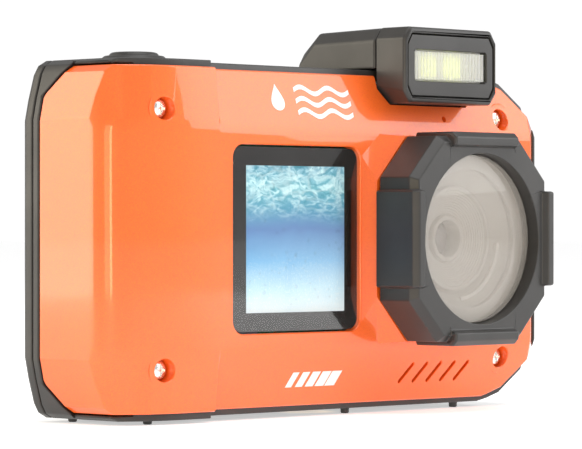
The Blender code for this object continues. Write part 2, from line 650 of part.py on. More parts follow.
def make_top_controls():
    centre = (SHUTTER_X, SHUTTER_Y)
    collar = [
        (4.8, 32.75), (5.3, 32.75), (5.93, 32.2), (5.93, 32.02), (5.05, 32.02), (5.05, 28.9),
        (1.8, 28.9), (1.8, 29.5), (4.8, 29.5),
    ]
    turned("shutter_collar", collar, centre, "Z", CHARCOAL, 32)
    button = [
        (0, 33.45), (3.6, 33.4), (4.3, 33.15), (4.6, 32.7), (4.6, 31.6), (1.5, 31.6), (1.5, 27.9), (0, 27.9),
    ]
    set_origin(turned("shutter_button", button, centre, "Z", CHARCOAL, 32), *centre, 31.6)
    helix("shutter_spring", 2.6, 0.2, 29.62, 31.5, 3, centre, STEEL)
    block("shutter_switch", span(SHUTTER_X, 1.4), span(SHUTTER_Y, 3), (24.3, 26.8), SOFT_BLACK)
    power = [(0, 31.5), (2.5, 31.45), (2.9, 31.2), (2.9, 29.3), (0, 29.3)]
    set_origin(turned("power_button", power, (-14, 5.5), "Z", CHARCOAL, 32), -14, 5.5, 29.3)


def make_rear_controls():
    for name, (x, height, radius) in BUTTONS.items():
        cap = [(0, 20.5), (radius - 0.7, 20.45), (radius, 20.0), (radius, 17.3)]
        if name == "ok_button":
            cap += [(0, 17.3)]
        else:
            cap += [(radius + 0.8, 17.3), (radius + 0.8, 16.6), (0, 16.6)]
        set_origin(turned(name, cap, (x, height), "Y", SOFT_BLACK, 20), x, 17.3, height)
    pad = [
        (PAD_INNER, 17.0), (PAD_OUTER + 0.8, 17.0), (PAD_OUTER + 0.8, 17.4), (PAD_OUTER, 17.4),
        (PAD_OUTER, 19.9), (PAD_OUTER - 0.5, 20.3), (PAD_INNER + 0.4, 20.0), (PAD_INNER, 19.8),
    ]
    set_origin(turned("direction_pad", pad, (-36, -3), "Y", SOFT_BLACK, 32), -36, 17.0, -3)
    outline = rounded(8.0, 3.0, 2.7, (ROCKER_X, ROCKER_HEIGHT))
    rocker = plate("zoom_rocker", outline, 17.6, 20.4, SOFT_BLACK)
    cut(rocker, rod("rocker_dip", 40.0, 10, 40, (ROCKER_X, 60.2), "Z", SOFT_BLACK, 96))
    set_origin(rocker, ROCKER_X, 17.6, ROCKER_HEIGHT)
    block("key_board", (-51.5, -21), (12.6, 13.6), (-25, 25), BOARD)


# ---------------------------------------------------------------- inside
def make_inside():
    block("battery", span(DOOR_X, 14.0), (2.3, 8.1), (-28.5, 11.5), CELL)
    block("memory_card", span(DOOR_X - 9, 5.5), (9.2, 9.95), (-28.4, -13.4), SOFT_BLACK)
    block("card_socket", span(DOOR_X - 9, 6.6), (10.2, 11.4), (-27.0, -13.0), STEEL)
    block("usb_socket", span(DOOR_X + 7, 4.5), (8.6, 11.6), (-28.2, -21.0), STEEL)
    block("main_board", (-15.5, 50), (9.0, 10.2), (-22.5, 22.5), BOARD)
    block("speaker", (15.2, 35.4), (-2.4, 1.4), (-27.6, -21.6), SOFT_BLACK)
    rod("microphone", 2.0, -4.2, -2.8, (26.95, 22.7), "Y", STEEL, 20)
    profile = [(0, -27.4), (2.56, -27.4), (2.56, -31.6), (5.0, -31.6), (5.0, -26.6), (0, -26.6)]
    turned("tripod_bushing", profile, (TRIPOD_X, TRIPOD_Y), "Z", BRASS, 32)
    rod("strap_bar", 0.6, -6.5, 6.5, (55.1, 7.5), "Z", STEEL, 12)


# ---------------------------------------------------------------- battery door
def make_battery_door():
    hinge = (DOOR_HINGE_Y, DOOR_HINGE_HEIGHT)
    door = block("battery_door", span(DOOR_X, 16.7), (0.8, 12.4), (-31.6, -30.4), CHARCOAL)
    for side in (-1, 1):
        notch = block("ear_notch", span(DOOR_X + side * 6.4, 1.1), (11.6, 15), (-33, -29), CHARCOAL)
        cut(door, notch)
    fuse(
        door,
        block("plug_neck", span(DOOR_X, 13.9), (3.5, 10.5), (-30.6, -29.0), CHARCOAL),
        block("plug_flange", span(DOOR_X, 15.1), (2.4, 11.5), (-29.5, -28.9), CHARCOAL),
        rod("door_knuckle", 0.95, *span(DOOR_X, 5.3), hinge, "X", CHARCOAL, 20),
        block("knuckle_arm", span(DOOR_X, 5.3), (12.0, DOOR_HINGE_Y), (-31.55, -30.9), CHARCOAL),
    )
    cut(
        door,
        rod("knuckle_hole", 0.62, *span(DOOR_X, 6.0), hinge, "X", CHARCOAL, 16),
        block("latch_track", span(DOOR_X, 5.5), (2.5, 6.1), (-33, -31.0), CHARCOAL),
    )
    set_origin(door, DOOR_X, *hinge)
    rod("door_hinge_pin", 0.5, *span(DOOR_X, 6.9), hinge, "X", STEEL, 16)

    seal = block("door_seal", span(DOOR_X, 15.2), (2.3, 11.7), (-30.25, -29.62), RUBBER)
    cut(seal, block("seal_inside", span(DOOR_X, 14.0), (3.4, 10.6), (-31, -29), RUBBER))
    set_origin(seal, DOOR_X, *hinge)

    latch_x = DOOR_X - 1.6
    latch = block("door_latch", span(latch_x, 3.6), (2.8, 5.8), (-31.95, -31.12), CHARCOAL)
    for i in range(4):
        groove_x = span(latch_x - 1.65 + 1.1 * i, 0.25)
        cut(latch, block("thumb_groove", groove_x, (3.3, 5.3), (-32.4, -31.7), CHARCOAL))
    set_origin(latch, latch_x, 4.3, -31.12)


make_front_shell()
make_mid_frame()
make_rear_cover()
make_gaskets()
make_case_screws()
make_screens()
make_lens_housing()
make_lens()
make_lamp()
make_top_controls()
make_rear_controls()
make_inside()
make_battery_door()
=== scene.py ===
"""Looks of a rugged waterproof compact camera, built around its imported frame.

Sizes are in millimetres, and heights are counted from the body's mid-plane; at() turns them into scene metres.
X runs along the body, the lens looks along -Y, and Z is up.
"""

import json
from math import atan2, cos, pi, radians, sin

import bmesh
import bpy
import numpy as np
from mathutils import Matrix, Vector

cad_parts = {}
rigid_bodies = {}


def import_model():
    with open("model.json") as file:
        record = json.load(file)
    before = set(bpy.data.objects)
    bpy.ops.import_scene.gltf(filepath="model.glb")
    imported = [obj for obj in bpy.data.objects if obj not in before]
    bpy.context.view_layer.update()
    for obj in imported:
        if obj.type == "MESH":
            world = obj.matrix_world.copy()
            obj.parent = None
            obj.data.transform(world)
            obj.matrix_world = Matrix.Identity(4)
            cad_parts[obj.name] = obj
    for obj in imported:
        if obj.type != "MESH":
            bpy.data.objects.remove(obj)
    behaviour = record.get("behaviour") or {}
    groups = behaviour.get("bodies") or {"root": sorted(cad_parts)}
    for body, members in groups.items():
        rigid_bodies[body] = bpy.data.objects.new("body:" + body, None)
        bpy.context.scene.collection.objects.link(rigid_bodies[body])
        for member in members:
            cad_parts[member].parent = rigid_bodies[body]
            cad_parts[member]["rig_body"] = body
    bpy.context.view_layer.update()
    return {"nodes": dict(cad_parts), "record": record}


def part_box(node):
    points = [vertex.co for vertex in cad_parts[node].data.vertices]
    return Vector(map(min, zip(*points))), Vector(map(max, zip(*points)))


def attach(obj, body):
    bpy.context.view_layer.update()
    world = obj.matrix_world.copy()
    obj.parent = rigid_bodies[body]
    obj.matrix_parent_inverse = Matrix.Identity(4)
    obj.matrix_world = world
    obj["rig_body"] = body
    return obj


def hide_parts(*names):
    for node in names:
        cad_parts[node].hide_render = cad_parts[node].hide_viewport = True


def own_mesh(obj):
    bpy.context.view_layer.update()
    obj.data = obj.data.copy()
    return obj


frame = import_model()
nodes = frame["nodes"]

MM = 0.001
MID_HEIGHT = 32.6           # mid-plane above the table


def middle(node):
    """Centre of a CAD node as (x, y, height)."""
    low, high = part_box(node)
    centre = (low + high) / 2 / MM
    return centre.x, centre.y, centre.z - MID_HEIGHT


# ------------------------------------------------------------------ driving sizes
SIDE_X, SHELL_END_X = -56.35, 55.45
SEAM_X = -33.3              # the grip's front bands end in a step here
END_SLOPE_X = 51.4          # from here the front slopes back to the frame's end
CREASE = 20.0               # the front face folds back above and below this height
CREASE_SOFT = 1.3           # half width of the fold's round
FRONT_Y, BAND_Y, BAND_TOP = -7.3, -4.05, 30.45
GRIP_TOP = 30.65
WALL = 2.0
WRAP_Y, WRAP_CORNER = 14.9, 25.5
CORNER_END = (-51.05, -4.1)
LENS_X = middle("lens_window")[0]
LAMP_X = middle("lamp_front_housing")[0]
SCREW_PLACES = [middle(f"case_screw_{number}") for number in (1, 2, 3, 4)]
GLASS_X = middle("front_display_glass")[0]
DISPLAY_HALF = (12.78, 13.27)
SHUTTER = middle("shutter_button")[:2]


# ------------------------------------------------------------------ node graphs
class Socket:
    """A node's output. Arithmetic on it adds Math nodes."""

    def __init__(self, graph, socket):
        self.graph = graph
        self.socket = socket

    def math(self, operation, *others):
        return self.graph.node("ShaderNodeMath", {"operation": operation}, dict(enumerate((self, *others))))

    def __add__(self, other):
        return self.math("ADD", other)

    __radd__ = __add__

    def __mul__(self, other):
        return self.math("MULTIPLY", other)

    __rmul__ = __mul__

    def __sub__(self, other):
        return self.math("SUBTRACT", other)

    def __rsub__(self, other):
        return self.graph.node("ShaderNodeMath", {"operation": "SUBTRACT"}, {0: other, 1: self})

    def __truediv__(self, other):
        return self.math("DIVIDE", other)

    def __gt__(self, other):
        return self.math("GREATER_THAN", other)

    def __lt__(self, other):
        return self.math("LESS_THAN", other)

    def sibling(self, name):
        """Another output of the same node."""
        return Socket(self.graph, self.socket.node.outputs[name])


class Graph:
    """A node tree whose nodes all come from node()."""

    def __init__(self, tree):
        self.tree = tree

    def node(self, kind, settings=None, sockets=None, output=0):
        made = self.tree.nodes.new(kind)
        for name, value in (settings or {}).items():
            if name == "stops":
                self.set_stops(made.color_ramp, value)
            else:
                setattr(made, name, value)
        for key, value in (sockets or {}).items():
            self.feed(made.inputs[key], value)
        return Socket(self, made.outputs[output])

    def feed(self, target, value):
        if isinstance(value, Socket):
            self.tree.links.new(value.socket, target)
        else:
            target.default_value = value

    @staticmethod
    def set_stops(ramp, stops):
        while len(ramp.elements) < len(stops):
            ramp.elements.new(1.0)
        for element, (place, colour) in zip(ramp.elements, stops):
            element.position = place
            element.color = (*colour, 1.0)


class Finish(Graph):
    """A material. Its even values are set on the shader; the rest is fed by nodes."""

    def __init__(self, name, colour, roughness, **even):
        self.material = bpy.data.materials.new(name)
        self.material.use_nodes = True
        self.material.diffuse_color = (*colour, 1.0)
        super().__init__(self.material.node_tree)
        self.shader = self.tree.nodes["Principled BSDF"]
        self.set("Base Color", (*colour, 1.0))
        self.set("Roughness", roughness)
        for key, value in even.items():
            self.set(key.replace("_", " "), value)
        self.place = self.node("ShaderNodeTexCoord", output="Object")

    def set(self, key, value):
        self.feed(self.shader.inputs[key], value)

    def axes(self):
        """Object coordinates as three numbers in millimetres: x, y and height."""
        split = self.node("ShaderNodeSeparateXYZ", None, {0: self.place})
        return split / MM, split.sibling("Y") / MM, split.sibling("Z") / MM - MID_HEIGHT

    def stretched(self, scale):
        """Object coordinates with each axis scaled."""
        return self.node("ShaderNodeMapping", None, {"Vector": self.place, "Scale": scale})

    def noise(self, per_mm, detail=2.0, at=None, distortion=0.0):
        sockets = {"Vector": at or self.place, "Scale": per_mm / MM, "Detail": detail, "Distortion": distortion}
        return self.node("ShaderNodeTexNoise", None, sockets)

    def cells(self, per_mm, output="Distance", feature="F1", at=None):
        sockets = {"Vector": at or self.place, "Scale": per_mm / MM}
        return self.node("ShaderNodeTexVoronoi", {"feature": feature}, sockets, output=output)

    def grey(self, colour):
        return self.node("ShaderNodeSeparateColor", None, {0: colour})

    def ramp(self, share, *stops):
        return self.node("ShaderNodeValToRGB", {"stops": stops}, {0: share})

    def mix(self, share, first, second, kind="MIX"):
        """Colour mix; plain colours are three numbers."""
        first, second = (c if isinstance(c, Socket) else (*c, 1.0) for c in (first, second))
        settings = {"data_type": "RGBA", "blend_type": kind}
        return self.node("ShaderNodeMix", settings, {0: share, 6: first, 7: second}, output=2)

    def clamp(self, value):
        return self.node("ShaderNodeClamp", None, {0: value})

    def bump(self, height, depth, strength=1.0):
        """Raises the surface by height times depth, in millimetres."""
        made = self.node("ShaderNodeBump", None, {"Height": height, "Strength": strength, "Distance": depth * MM})
        self.set("Normal", made)


# ------------------------------------------------------------------ finishes
def make_orange_paint():
    """Clear-coated orange with fine metallic flake."""
    even = {"Coat_Weight": 1.0, "Coat_Roughness": 0.035, "Specular_IOR_Level": 0.35}
    paint = Finish("orange_paint", (1.0, 0.145, 0.014), 0.38, **even)
    flake = paint.grey(paint.cells(7.5, "Color"))
    cloud = paint.noise(0.05, 3.0)
    tint = paint.mix(cloud, (0.98, 0.125, 0.010), (1.0, 0.165, 0.018))
    bright = flake > 0.82
    dark = flake < 0.16
    tint = paint.mix(bright * 0.30, tint, (1.0, 0.27, 0.05))
    tint = paint.mix(dark * 0.25, tint, (0.72, 0.07, 0.008))
    paint.set("Base Color", tint)
    paint.set("Metallic", bright * 0.55)
    paint.set("Roughness", 0.34 + flake * 0.10)
    paint.bump(flake, 0.004, 0.35)
    return paint.material


def make_moulded(name, colour, lighter, roughness, grain, depth):
    """Spark-textured moulded plastic: fine grain, faint rubbed patches."""
    plastic = Finish(name, colour, roughness, Specular_IOR_Level=0.5)
    pebble = plastic.cells(grain, "Distance", "SMOOTH_F1")
    speck = plastic.noise(grain * 1.7, 2.0)
    rubbed = plastic.ramp(plastic.noise(0.09, 4.0), (0.42, (0, 0, 0)), (0.72, (1, 1, 1)))
    tint = plastic.mix(plastic.grey(rubbed) * 0.5 + speck * 0.25, colour, lighter)
    plastic.set("Base Color", tint)
    plastic.set("Roughness", roughness + (speck - 0.5) * 0.22 - plastic.grey(rubbed) * 0.05)
    plastic.bump(pebble + speck * 0.6, depth, 0.7)
    return plastic.material


def make_rubber():
    rubber = Finish("black_rubber", (0.015, 0.015, 0.015), 0.8)
    speck = rubber.noise(6.0, 3.0)
    rubber.set("Base Color", rubber.mix(speck, (0.011, 0.011, 0.011), (0.03, 0.03, 0.031)))
    rubber.set("Roughness", 0.7 + speck * 0.2)
    rubber.bump(speck, 0.02, 0.6)
    return rubber.material


def make_steel():
    """Bright steel with fine drawn lines."""
    steel = Finish("bright_steel", (0.86, 0.85, 0.82), 0.22, Metallic=1.0)
    lines = steel.noise(2.0, 3.0, at=steel.stretched((1.0, 6.0, 9.0)))
    steel.set("Base Color", steel.mix(lines, (0.78, 0.76, 0.72), (0.96, 0.95, 0.92)))
    steel.set("Roughness", 0.14 + lines * 0.22)
    steel.bump(lines, 0.006, 0.3)
    return steel.material


def make_brass():
    """Turned brass: rings about the bushing's axis."""
    brass = Finish("turned_brass", (0.72, 0.52, 0.24), 0.3, Metallic=1.0)
    x, y, _ = brass.axes()
    centre = middle("tripod_bushing")
    away_x, away_y = x - centre[0], y - centre[1]
    radius = (away_x * away_x + away_y * away_y).math("SQRT")
    rings = (radius * 38.0).math("SINE") * 0.5 + 0.5
    haze = brass.noise(0.8, 3.0)
    brass.set("Base Color", brass.mix(rings * 0.4 + haze * 0.4, (0.60, 0.41, 0.17), (0.86, 0.66, 0.34)))
    brass.set("Roughness", 0.2 + haze * 0.22)
    brass.bump(rings, 0.01, 0.5)
    return brass.material


def make_clear(name, colour, alpha, roughness, smear):
    """Clear moulded window: thin, glossy, with a faint uneven haze."""
    clear = Finish(name, colour, roughness, Coat_Weight=1.0, Coat_Roughness=0.02, Specular_IOR_Level=0.5)
    haze = clear.noise(0.10, 4.0)
    dust = clear.grey(clear.cells(1.6, "Color")) > 0.985
    clear.set("Base Color", clear.mix(haze, colour, [channel * 0.93 for channel in colour]))
    clear.set("Alpha", clear.clamp(alpha + (haze - 0.5) * smear + dust * 0.05))
    clear.set("Roughness", roughness + haze * 0.05)
    return clear.material


def make_dark_glass():
    """Black printed border behind polished glass."""
    dark = Finish("dark_glass", (0.011, 0.010, 0.009), 0.10, Coat_Weight=1.0, Coat_Roughness=0.02)
    haze = dark.noise(0.12, 4.0)
    dark.set("Base Color", dark.mix(haze, (0.010, 0.009, 0.008), (0.020, 0.018, 0.017)))
    dark.set("Roughness", 0.07 + haze * 0.06)
    return dark.material


def make_water_picture(name, centre, half):
    """A lit screen that shows open water under a rippled surface."""
    screen = Finish(name, (0.2, 0.5, 0.7), 0.35, Emission_Strength=0.80, Specular_IOR_Level=0.2)
    x, y, height = screen.axes()
    across = (x - (centre[0] - half[0])) / (2 * half[0])
    up = (height - (centre[1] - half[1])) / (2 * half[1])
    flat = screen.node("ShaderNodeCombineXYZ", None, {0: across, 1: 0.0, 2: up})

    swell = screen.node("ShaderNodeTexNoise", None, {"Vector": flat, "Scale": 3.2, "Detail": 3.0, "Distortion": 0.8})
    level = up + (swell - 0.5) * 0.10
    deep = screen.ramp(
        level,
        (0.0, (0.88, 0.97, 0.98)), (0.16, (0.56, 0.83, 0.96)), (0.34, (0.20, 0.50, 0.80)),
        (0.56, (0.13, 0.26, 0.52)), (0.70, (0.14, 0.38, 0.54)), (0.86, (0.24, 0.58, 0.66)),
        (1.0, (0.22, 0.50, 0.64)),
    )
    stretch = screen.node("ShaderNodeMapping", None, {"Vector": flat, "Scale": (1.0, 1.0, 2.3)})
    bent = screen.mix(0.16, stretch, swell.sibling("Color"), "LINEAR_LIGHT")
    edge = {"Vector": bent, "Scale": 5.0}
    ripple = screen.node("ShaderNodeTexVoronoi", {"feature": "DISTANCE_TO_EDGE"}, edge)
    fine = screen.node("ShaderNodeTexNoise", None, {"Vector": bent, "Scale": 9.0, "Detail": 4.0, "Distortion": 1.4})
    near_surface = screen.clamp((level - 0.60) * 4.5)
    lines = screen.clamp(1.0 - ripple * 7.0)
    glint = screen.clamp((fine - 0.47) * 5.0) * near_surface
    shade = screen.clamp((0.50 - fine) * 5.0) * near_surface
    picture = screen.mix(shade * 0.75, deep, (0.05, 0.27, 0.36))
    picture = screen.mix(glint * 0.85, picture, (0.70, 0.97, 1.0))
    picture = screen.mix(lines * near_surface * 0.35, picture, (0.82, 1.0, 1.0))
    sparkle = screen.node("ShaderNodeTexNoise", None, {"Vector": flat, "Scale": 55.0, "Detail": 2.0})
    low = screen.clamp((0.45 - up) * 2.4) * screen.clamp((sparkle - 0.56) * 9.0)
    picture = screen.mix(low * 0.55, picture, (0.95, 1.0, 1.0))
    lit = screen.clamp(across * 0.5 + 0.1) * screen.clamp(1.0 - up * 1.4)
    picture = screen.mix(lit * 0.6, picture, (0.93, 1.0, 1.0))
    dark = screen.mix(1.0, picture, (0.35, 0.35, 0.35), "MULTIPLY")
    screen.set("Base Color", dark)
    screen.set("Emission Color", picture)
    return screen.material


def make_pale_plastic(name, colour, low):
    pale = Finish(name, colour, 0.45)
    speck = pale.noise(5.0, 3.0)
    haze = pale.noise(0.12, 3.0)
    pale.set("Base Color", pale.mix(speck * 0.4 + haze * 0.6, low, colour))
    pale.set("Roughness", 0.38 + speck * 0.16)
    pale.bump(speck, 0.01, 0.4)
    return pale.material


def make_circuit_board():
    """Solder mask over copper tracks."""
    board = Finish("circuit_board", (0.02, 0.16, 0.07), 0.4)
    track = board.cells(0.55, "Distance", "DISTANCE_TO_EDGE") < 0.07
    pad = board.grey(board.cells(0.9, "Color")) > 0.93
    green = board.mix(track * 0.6, (0.012, 0.10, 0.045), (0.03, 0.22, 0.10))
    board.set("Base Color", board.mix(pad, green, (0.75, 0.60, 0.30)))
    board.set("Metallic", pad * 0.9)
    board.set("Roughness", 0.42 - pad * 0.15)
    board.bump(track + pad, 0.03, 0.6)
    return board.material


def make_silicon():
    """Image sensor with a faint rainbow drift."""
    silicon = Finish("sensor_silicon", (0.10, 0.10, 0.16), 0.15, Metallic=0.4)
    drift = silicon.noise(0.3, 1.0)
    silicon.set("Base Color", silicon.ramp(drift, (0.3, (0.10, 0.05, 0.16)), (0.7, (0.04, 0.16, 0.15))))
    silicon.set("Roughness", 0.1 + drift * 0.15)
    return silicon.material


def make_led():
    """Yellow-green phosphor under a lens."""
    led = Finish("led_phosphor", (0.80, 0.85, 0.15), 0.5, Emission_Strength=1.2)
    grain = led.noise(1.1, 3.0)
    led.set("Base Color", led.mix(grain, (0.75, 0.80, 0.05), (0.95, 1.0, 0.45)))
    led.set("Emission Color", led.mix(grain, (0.42, 0.55, 0.0), (1.0, 1.0, 0.30)))
    return led.material


def make_battery_wrap():
    """Shrink wrap in two bands."""
    wrap = Finish("battery_wrap", (0.12, 0.13, 0.15), 0.35)
    _, _, height = wrap.axes()
    band = (height > 2.0) * (height < 7.0)
    scuff = wrap.noise(0.4, 4.0)
    film = wrap.mix(scuff, (0.09, 0.10, 0.12), (0.16, 0.17, 0.19))
    wrap.set("Base Color", wrap.mix(band, film, (0.7, 0.7, 0.68)))
    wrap.set("Roughness", 0.28 + scuff * 0.2)
    return wrap.material


def make_print():
    """White pad print, slightly uneven."""
    ink = Finish("white_print", (0.92, 0.90, 0.87), 0.45)
    speck = ink.noise(4.0, 3.0)
    ink.set("Base Color", ink.mix(speck, (0.84, 0.80, 0.76), (0.97, 0.96, 0.95)))
    ink.set("Roughness", 0.4 + speck * 0.15)
    return ink.material


FINISHES = {
    "orange_paint": make_orange_paint(),
    "charcoal_plastic": make_moulded(
        "charcoal_plastic", (0.030, 0.029, 0.028), (0.052, 0.050, 0.048), 0.40, 4.5, 0.010),
    "black_plastic": make_moulded("black_plastic", (0.014, 0.014, 0.015), (0.03, 0.03, 0.031), 0.36, 6.0, 0.006),
    "black_rubber": make_rubber(),
    "steel": make_steel(),
    "brass": make_brass(),
    "clear_window": make_clear("clear_window", (0.62, 0.58, 0.53), 0.30, 0.06, 0.10),
    "dark_glass": make_dark_glass(),
    "display_panel": make_water_picture("front_picture", (GLASS_X + 0.05, 0.0), DISPLAY_HALF),
    "pale_grey_plastic": make_pale_plastic("pale_grey_plastic", (0.55, 0.52, 0.48), (0.44, 0.41, 0.37)),
    "circuit_board": make_circuit_board(),
    "sensor_silicon": make_silicon(),
    "led_phosphor": make_led(),
    "white_plastic": make_pale_plastic("white_plastic", (0.85, 0.85, 0.84), (0.76, 0.76, 0.75)),
    "battery_wrap": make_battery_wrap(),
}
PRINT = make_print()
SLOT_OF = {part["node"]: part["material_slot"] for part in frame["record"]["subparts"]}
BODY_OF = {name: node["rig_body"] for name, node in nodes.items()}
for name, node in nodes.items():
    node.data.materials.clear()
    node.data.materials.append(FINISHES[SLOT_OF[name]])


# ------------------------------------------------------------------ mesh tools
def at(x, y, height):
    return Vector((x, y, height + MID_HEIGHT)) * MM


def as_object(name, shape):
    """Turns a bmesh into an object, its faces pointing outwards."""
    if shape.calc_volume(signed=True) < 0:
        bmesh.ops.reverse_faces(shape, faces=shape.faces)
    mesh = bpy.data.meshes.new(name)
    shape.to_mesh(mesh)
    shape.free()
    piece = bpy.data.objects.new(name, mesh)
    bpy.context.scene.collection.objects.link(piece)
    return piece


def loft(name, sections, split=True):
    """Skin over closed sections that hold the same number of points."""
    shape = bmesh.new()
    rings = [[shape.verts.new(point) for point in section] for section in sections]
    for ring, following in zip(rings, rings[1:]):
        for i in range(len(ring)):
            j = (i + 1) % len(ring)
            shape.faces.new((ring[i], ring[j], following[j], following[i]))
    if split:
        bmesh.ops.triangulate(shape, faces=shape.faces)
    shape.faces.new(list(reversed(rings[0])))
    shape.faces.new(rings[-1])
    return as_object(name, shape)


def plate(name, outline, low_y, high_y):
    """An outline of (x, height) points, extruded along Y."""
    return loft(name, [[at(x, y, h) for x, h in outline] for y in (low_y, high_y)], split=False)


def turned(name, profile, centre, axis="Y", sides=96):
    """A profile of (radius, distance along the axis), turned about an axis."""
    def place(radius, along, angle):
        a, b = radius * cos(angle) + centre[0], radius * sin(angle) + centre[1]
        return {"X": at(along, a, b), "Y": at(a, along, b), "Z": at(a, b, along)}[axis]

    shape = bmesh.new()
    rings = []
    for radius, along in profile:
        if radius == 0:
            rings.append([shape.verts.new(place(0, along, 0))])
        else:
            angles = [2 * pi * i / sides for i in range(sides)]
            rings.append([shape.verts.new(place(radius, along, angle)) for angle in angles])
    pairs = list(zip(rings, rings[1:]))
    if len(rings[0]) > 1:
        pairs.append((rings[-1], rings[0]))
    for ring, following in pairs:
        for i in range(sides):
            j = (i + 1) % sides
            near = [ring[i % len(ring)], ring[j % len(ring)]]
            far = [following[j % len(following)], following[i % len(following)]]
            shape.faces.new(list(dict.fromkeys(near + far)))
    piece = as_object(name, shape)
    piece.data.shade_smooth()
    return piece


def eased(profile, radius, closed=True, steps=3):
    """The profile with its corners rounded; ends that lie on the axis are kept."""
    points = [Vector(p) for p in profile]
    count = len(points)
    made = []
    for i, point in enumerate(points):
        if not closed and i in (0, count - 1):
            made.append(point)
            continue
        before, after = points[i - 1] - point, points[(i + 1) % count] - point
        reach = min(radius, 0.42 * before.length, 0.42 * after.length)
        start, end = point + before.normalized() * reach, point + after.normalized() * reach
        for k in range(steps + 1):
            t = k / steps
            made.append(start * (1 - t) ** 2 + point * 2 * t * (1 - t) + end * t ** 2)
    return [tuple(p) for p in made]


def settle(piece):
    """Turns the modifiers' result into the object's plain mesh."""
    shown = piece.evaluated_get(bpy.context.evaluated_depsgraph_get())
    mesh = bpy.data.meshes.new_from_object(shown)
    piece.modifiers.clear()
    piece.data = mesh
    return piece


def combine(piece, operation, *tools):
    """Boolean with each tool, which is then removed."""
    for tool in tools:
        step = piece.modifiers.new(operation, "BOOLEAN")
        step.operation = operation
        step.object = tool
    settle(piece)
    for tool in tools:
        bpy.data.objects.remove(tool, do_unlink=True)
    return piece


def cut(piece, *tools):
    return combine(piece, "DIFFERENCE", *tools)


def fuse(piece, *tools):
    return combine(piece, "UNION", *tools)


def soften(piece, width, segments=3, angle=30, merge=0.002):
    """Joins flat facets and rounds the edges that turn by more than the angle."""
    shape = bmesh.new()
    shape.from_mesh(piece.data)
    bmesh.ops.remove_doubles(shape, verts=shape.verts, dist=merge * MM)
    bmesh.ops.dissolve_limit(shape, angle_limit=radians(0.4), verts=shape.verts, edges=shape.edges)
    bmesh.ops.connect_verts_concave(shape, faces=shape.faces)
    shape.to_mesh(piece.data)
    shape.free()
    round_edges = piece.modifiers.new("edges", "BEVEL")
    round_edges.width = width * MM
    round_edges.segments = segments
    round_edges.limit_method = "ANGLE"
    round_edges.angle_limit = radians(angle)
    round_edges.use_clamp_overlap = False
    round_edges.miter_outer = "MITER_ARC"
    piece.data.shade_smooth()
    even = piece.modifiers.new("faces", "WEIGHTED_NORMAL")
    even.keep_sharp = True
    return settle(piece)


def evened(piece, angle=36):
    """Shades the piece smoothly up to an angle, with its large faces flat."""
    piece.data.shade_smooth()
    piece.data.set_sharp_from_angle(angle=radians(angle))
    even = piece.modifiers.new("faces", "WEIGHTED_NORMAL")
    even.keep_sharp = True
    return settle(piece)


def finished(piece, material, body, replaced=()):
    """Gives the piece its material, its body, and the CAD nodes it stands for."""
    piece.data.materials.clear()
    piece.data.materials.append(material)
    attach(piece, body)
    if replaced:
        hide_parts(*replaced)
    return piece


def stands_for(piece, *replaced, material=None):
    """A finer piece in place of CAD nodes, with their body and finish."""
    slot = SLOT_OF[replaced[0]]
    return finished(piece, material or FINISHES[slot], BODY_OF[replaced[0]], replaced)


def refined(node, width, segments=3, angle=30, merge=0.002):
    """A CAD solid with its edges rounded."""
    piece = bpy.data.objects.new(node + "_moulding", nodes[node].data.copy())
    bpy.context.scene.collection.objects.link(piece)
    soften(piece, width, segments, angle, merge)
    return stands_for(piece, node)


def rounded(half_x, half_h, radius, centre=(0, 0), steps=8):
    """A rectangle with round corners, as (x, height) points."""
    points = []
    for turn, (sx, sh) in enumerate(((1, 1), (-1, 1), (-1, -1), (1, -1))):
        for i in range(steps + 1):
            angle = pi / 2 * (turn + i / steps)
            points.append((
                centre[0] + sx * (half_x - radius) + radius * cos(angle),
                centre[1] + sh * (half_h - radius) + radius * sin(angle),
            ))
    return points


def octagon(half_x, half_h, cut_x, cut_h, centre=(0, 0), low_cut=None):
    """A rectangle with its corners cut off; low_cut is the cut of the lower two."""
    low_x, low_h = low_cut or (cut_x, cut_h)
    right = [(half_x - low_x, -half_h), (half_x, low_h - half_h), (half_x, half_h - cut_h), (half_x - cut_x, half_h)]
    return [(x + centre[0], h + centre[1]) for x, h in right + [(-x, h) for x, h in reversed(right)]]


# ------------------------------------------------------------------ repeated shapes
def geometry_tree(name, inputs):
    """An empty Geometry Nodes tree with named inputs; returns its graph and its input sockets."""
    tree = bpy.data.node_groups.new(name, "GeometryNodeTree")
    tree.interface.new_socket("Geometry", in_out="INPUT", socket_type="NodeSocketGeometry")
    tree.interface.new_socket("Geometry", in_out="OUTPUT", socket_type="NodeSocketGeometry")
    for key, kind in inputs.items():
        tree.interface.new_socket(key, in_out="INPUT", socket_type="NodeSocket" + kind)
    graph = Graph(tree)
    given = graph.node("NodeGroupInput")
    return graph, {key: given.sibling(key) for key in ["Geometry", *inputs]}


def finish_tree(graph, copies, material):
    """Ends a tree: real geometry, with its material set."""
    real = graph.node("GeometryNodeRealizeInstances", None, {"Geometry": copies})
    shown = graph.node("GeometryNodeSetMaterial", None, {"Geometry": real, "Material": material})
    result = graph.tree.nodes.new("NodeGroupOutput")
    graph.feed(result.inputs[0], shown)
    return graph.tree


def make_row_tree():
    """Copies of an item along a straight line."""
    kinds = {"Item": "Object", "Count": "Int", "Start": "Vector", "Step": "Vector", "Material": "Material"}
    graph, given = geometry_tree("row", kinds)
    sockets = {"Count": given["Count"], "Start Location": given["Start"], "Offset": given["Step"]}
    line = graph.node("GeometryNodeMeshLine", {"mode": "OFFSET"}, sockets)
    item = graph.node("GeometryNodeObjectInfo", None, {"Object": given["Item"]}, output="Geometry")
    copies = graph.node("GeometryNodeInstanceOnPoints", None, {"Points": line, "Instance": item})
    return finish_tree(graph, copies, given["Material"])


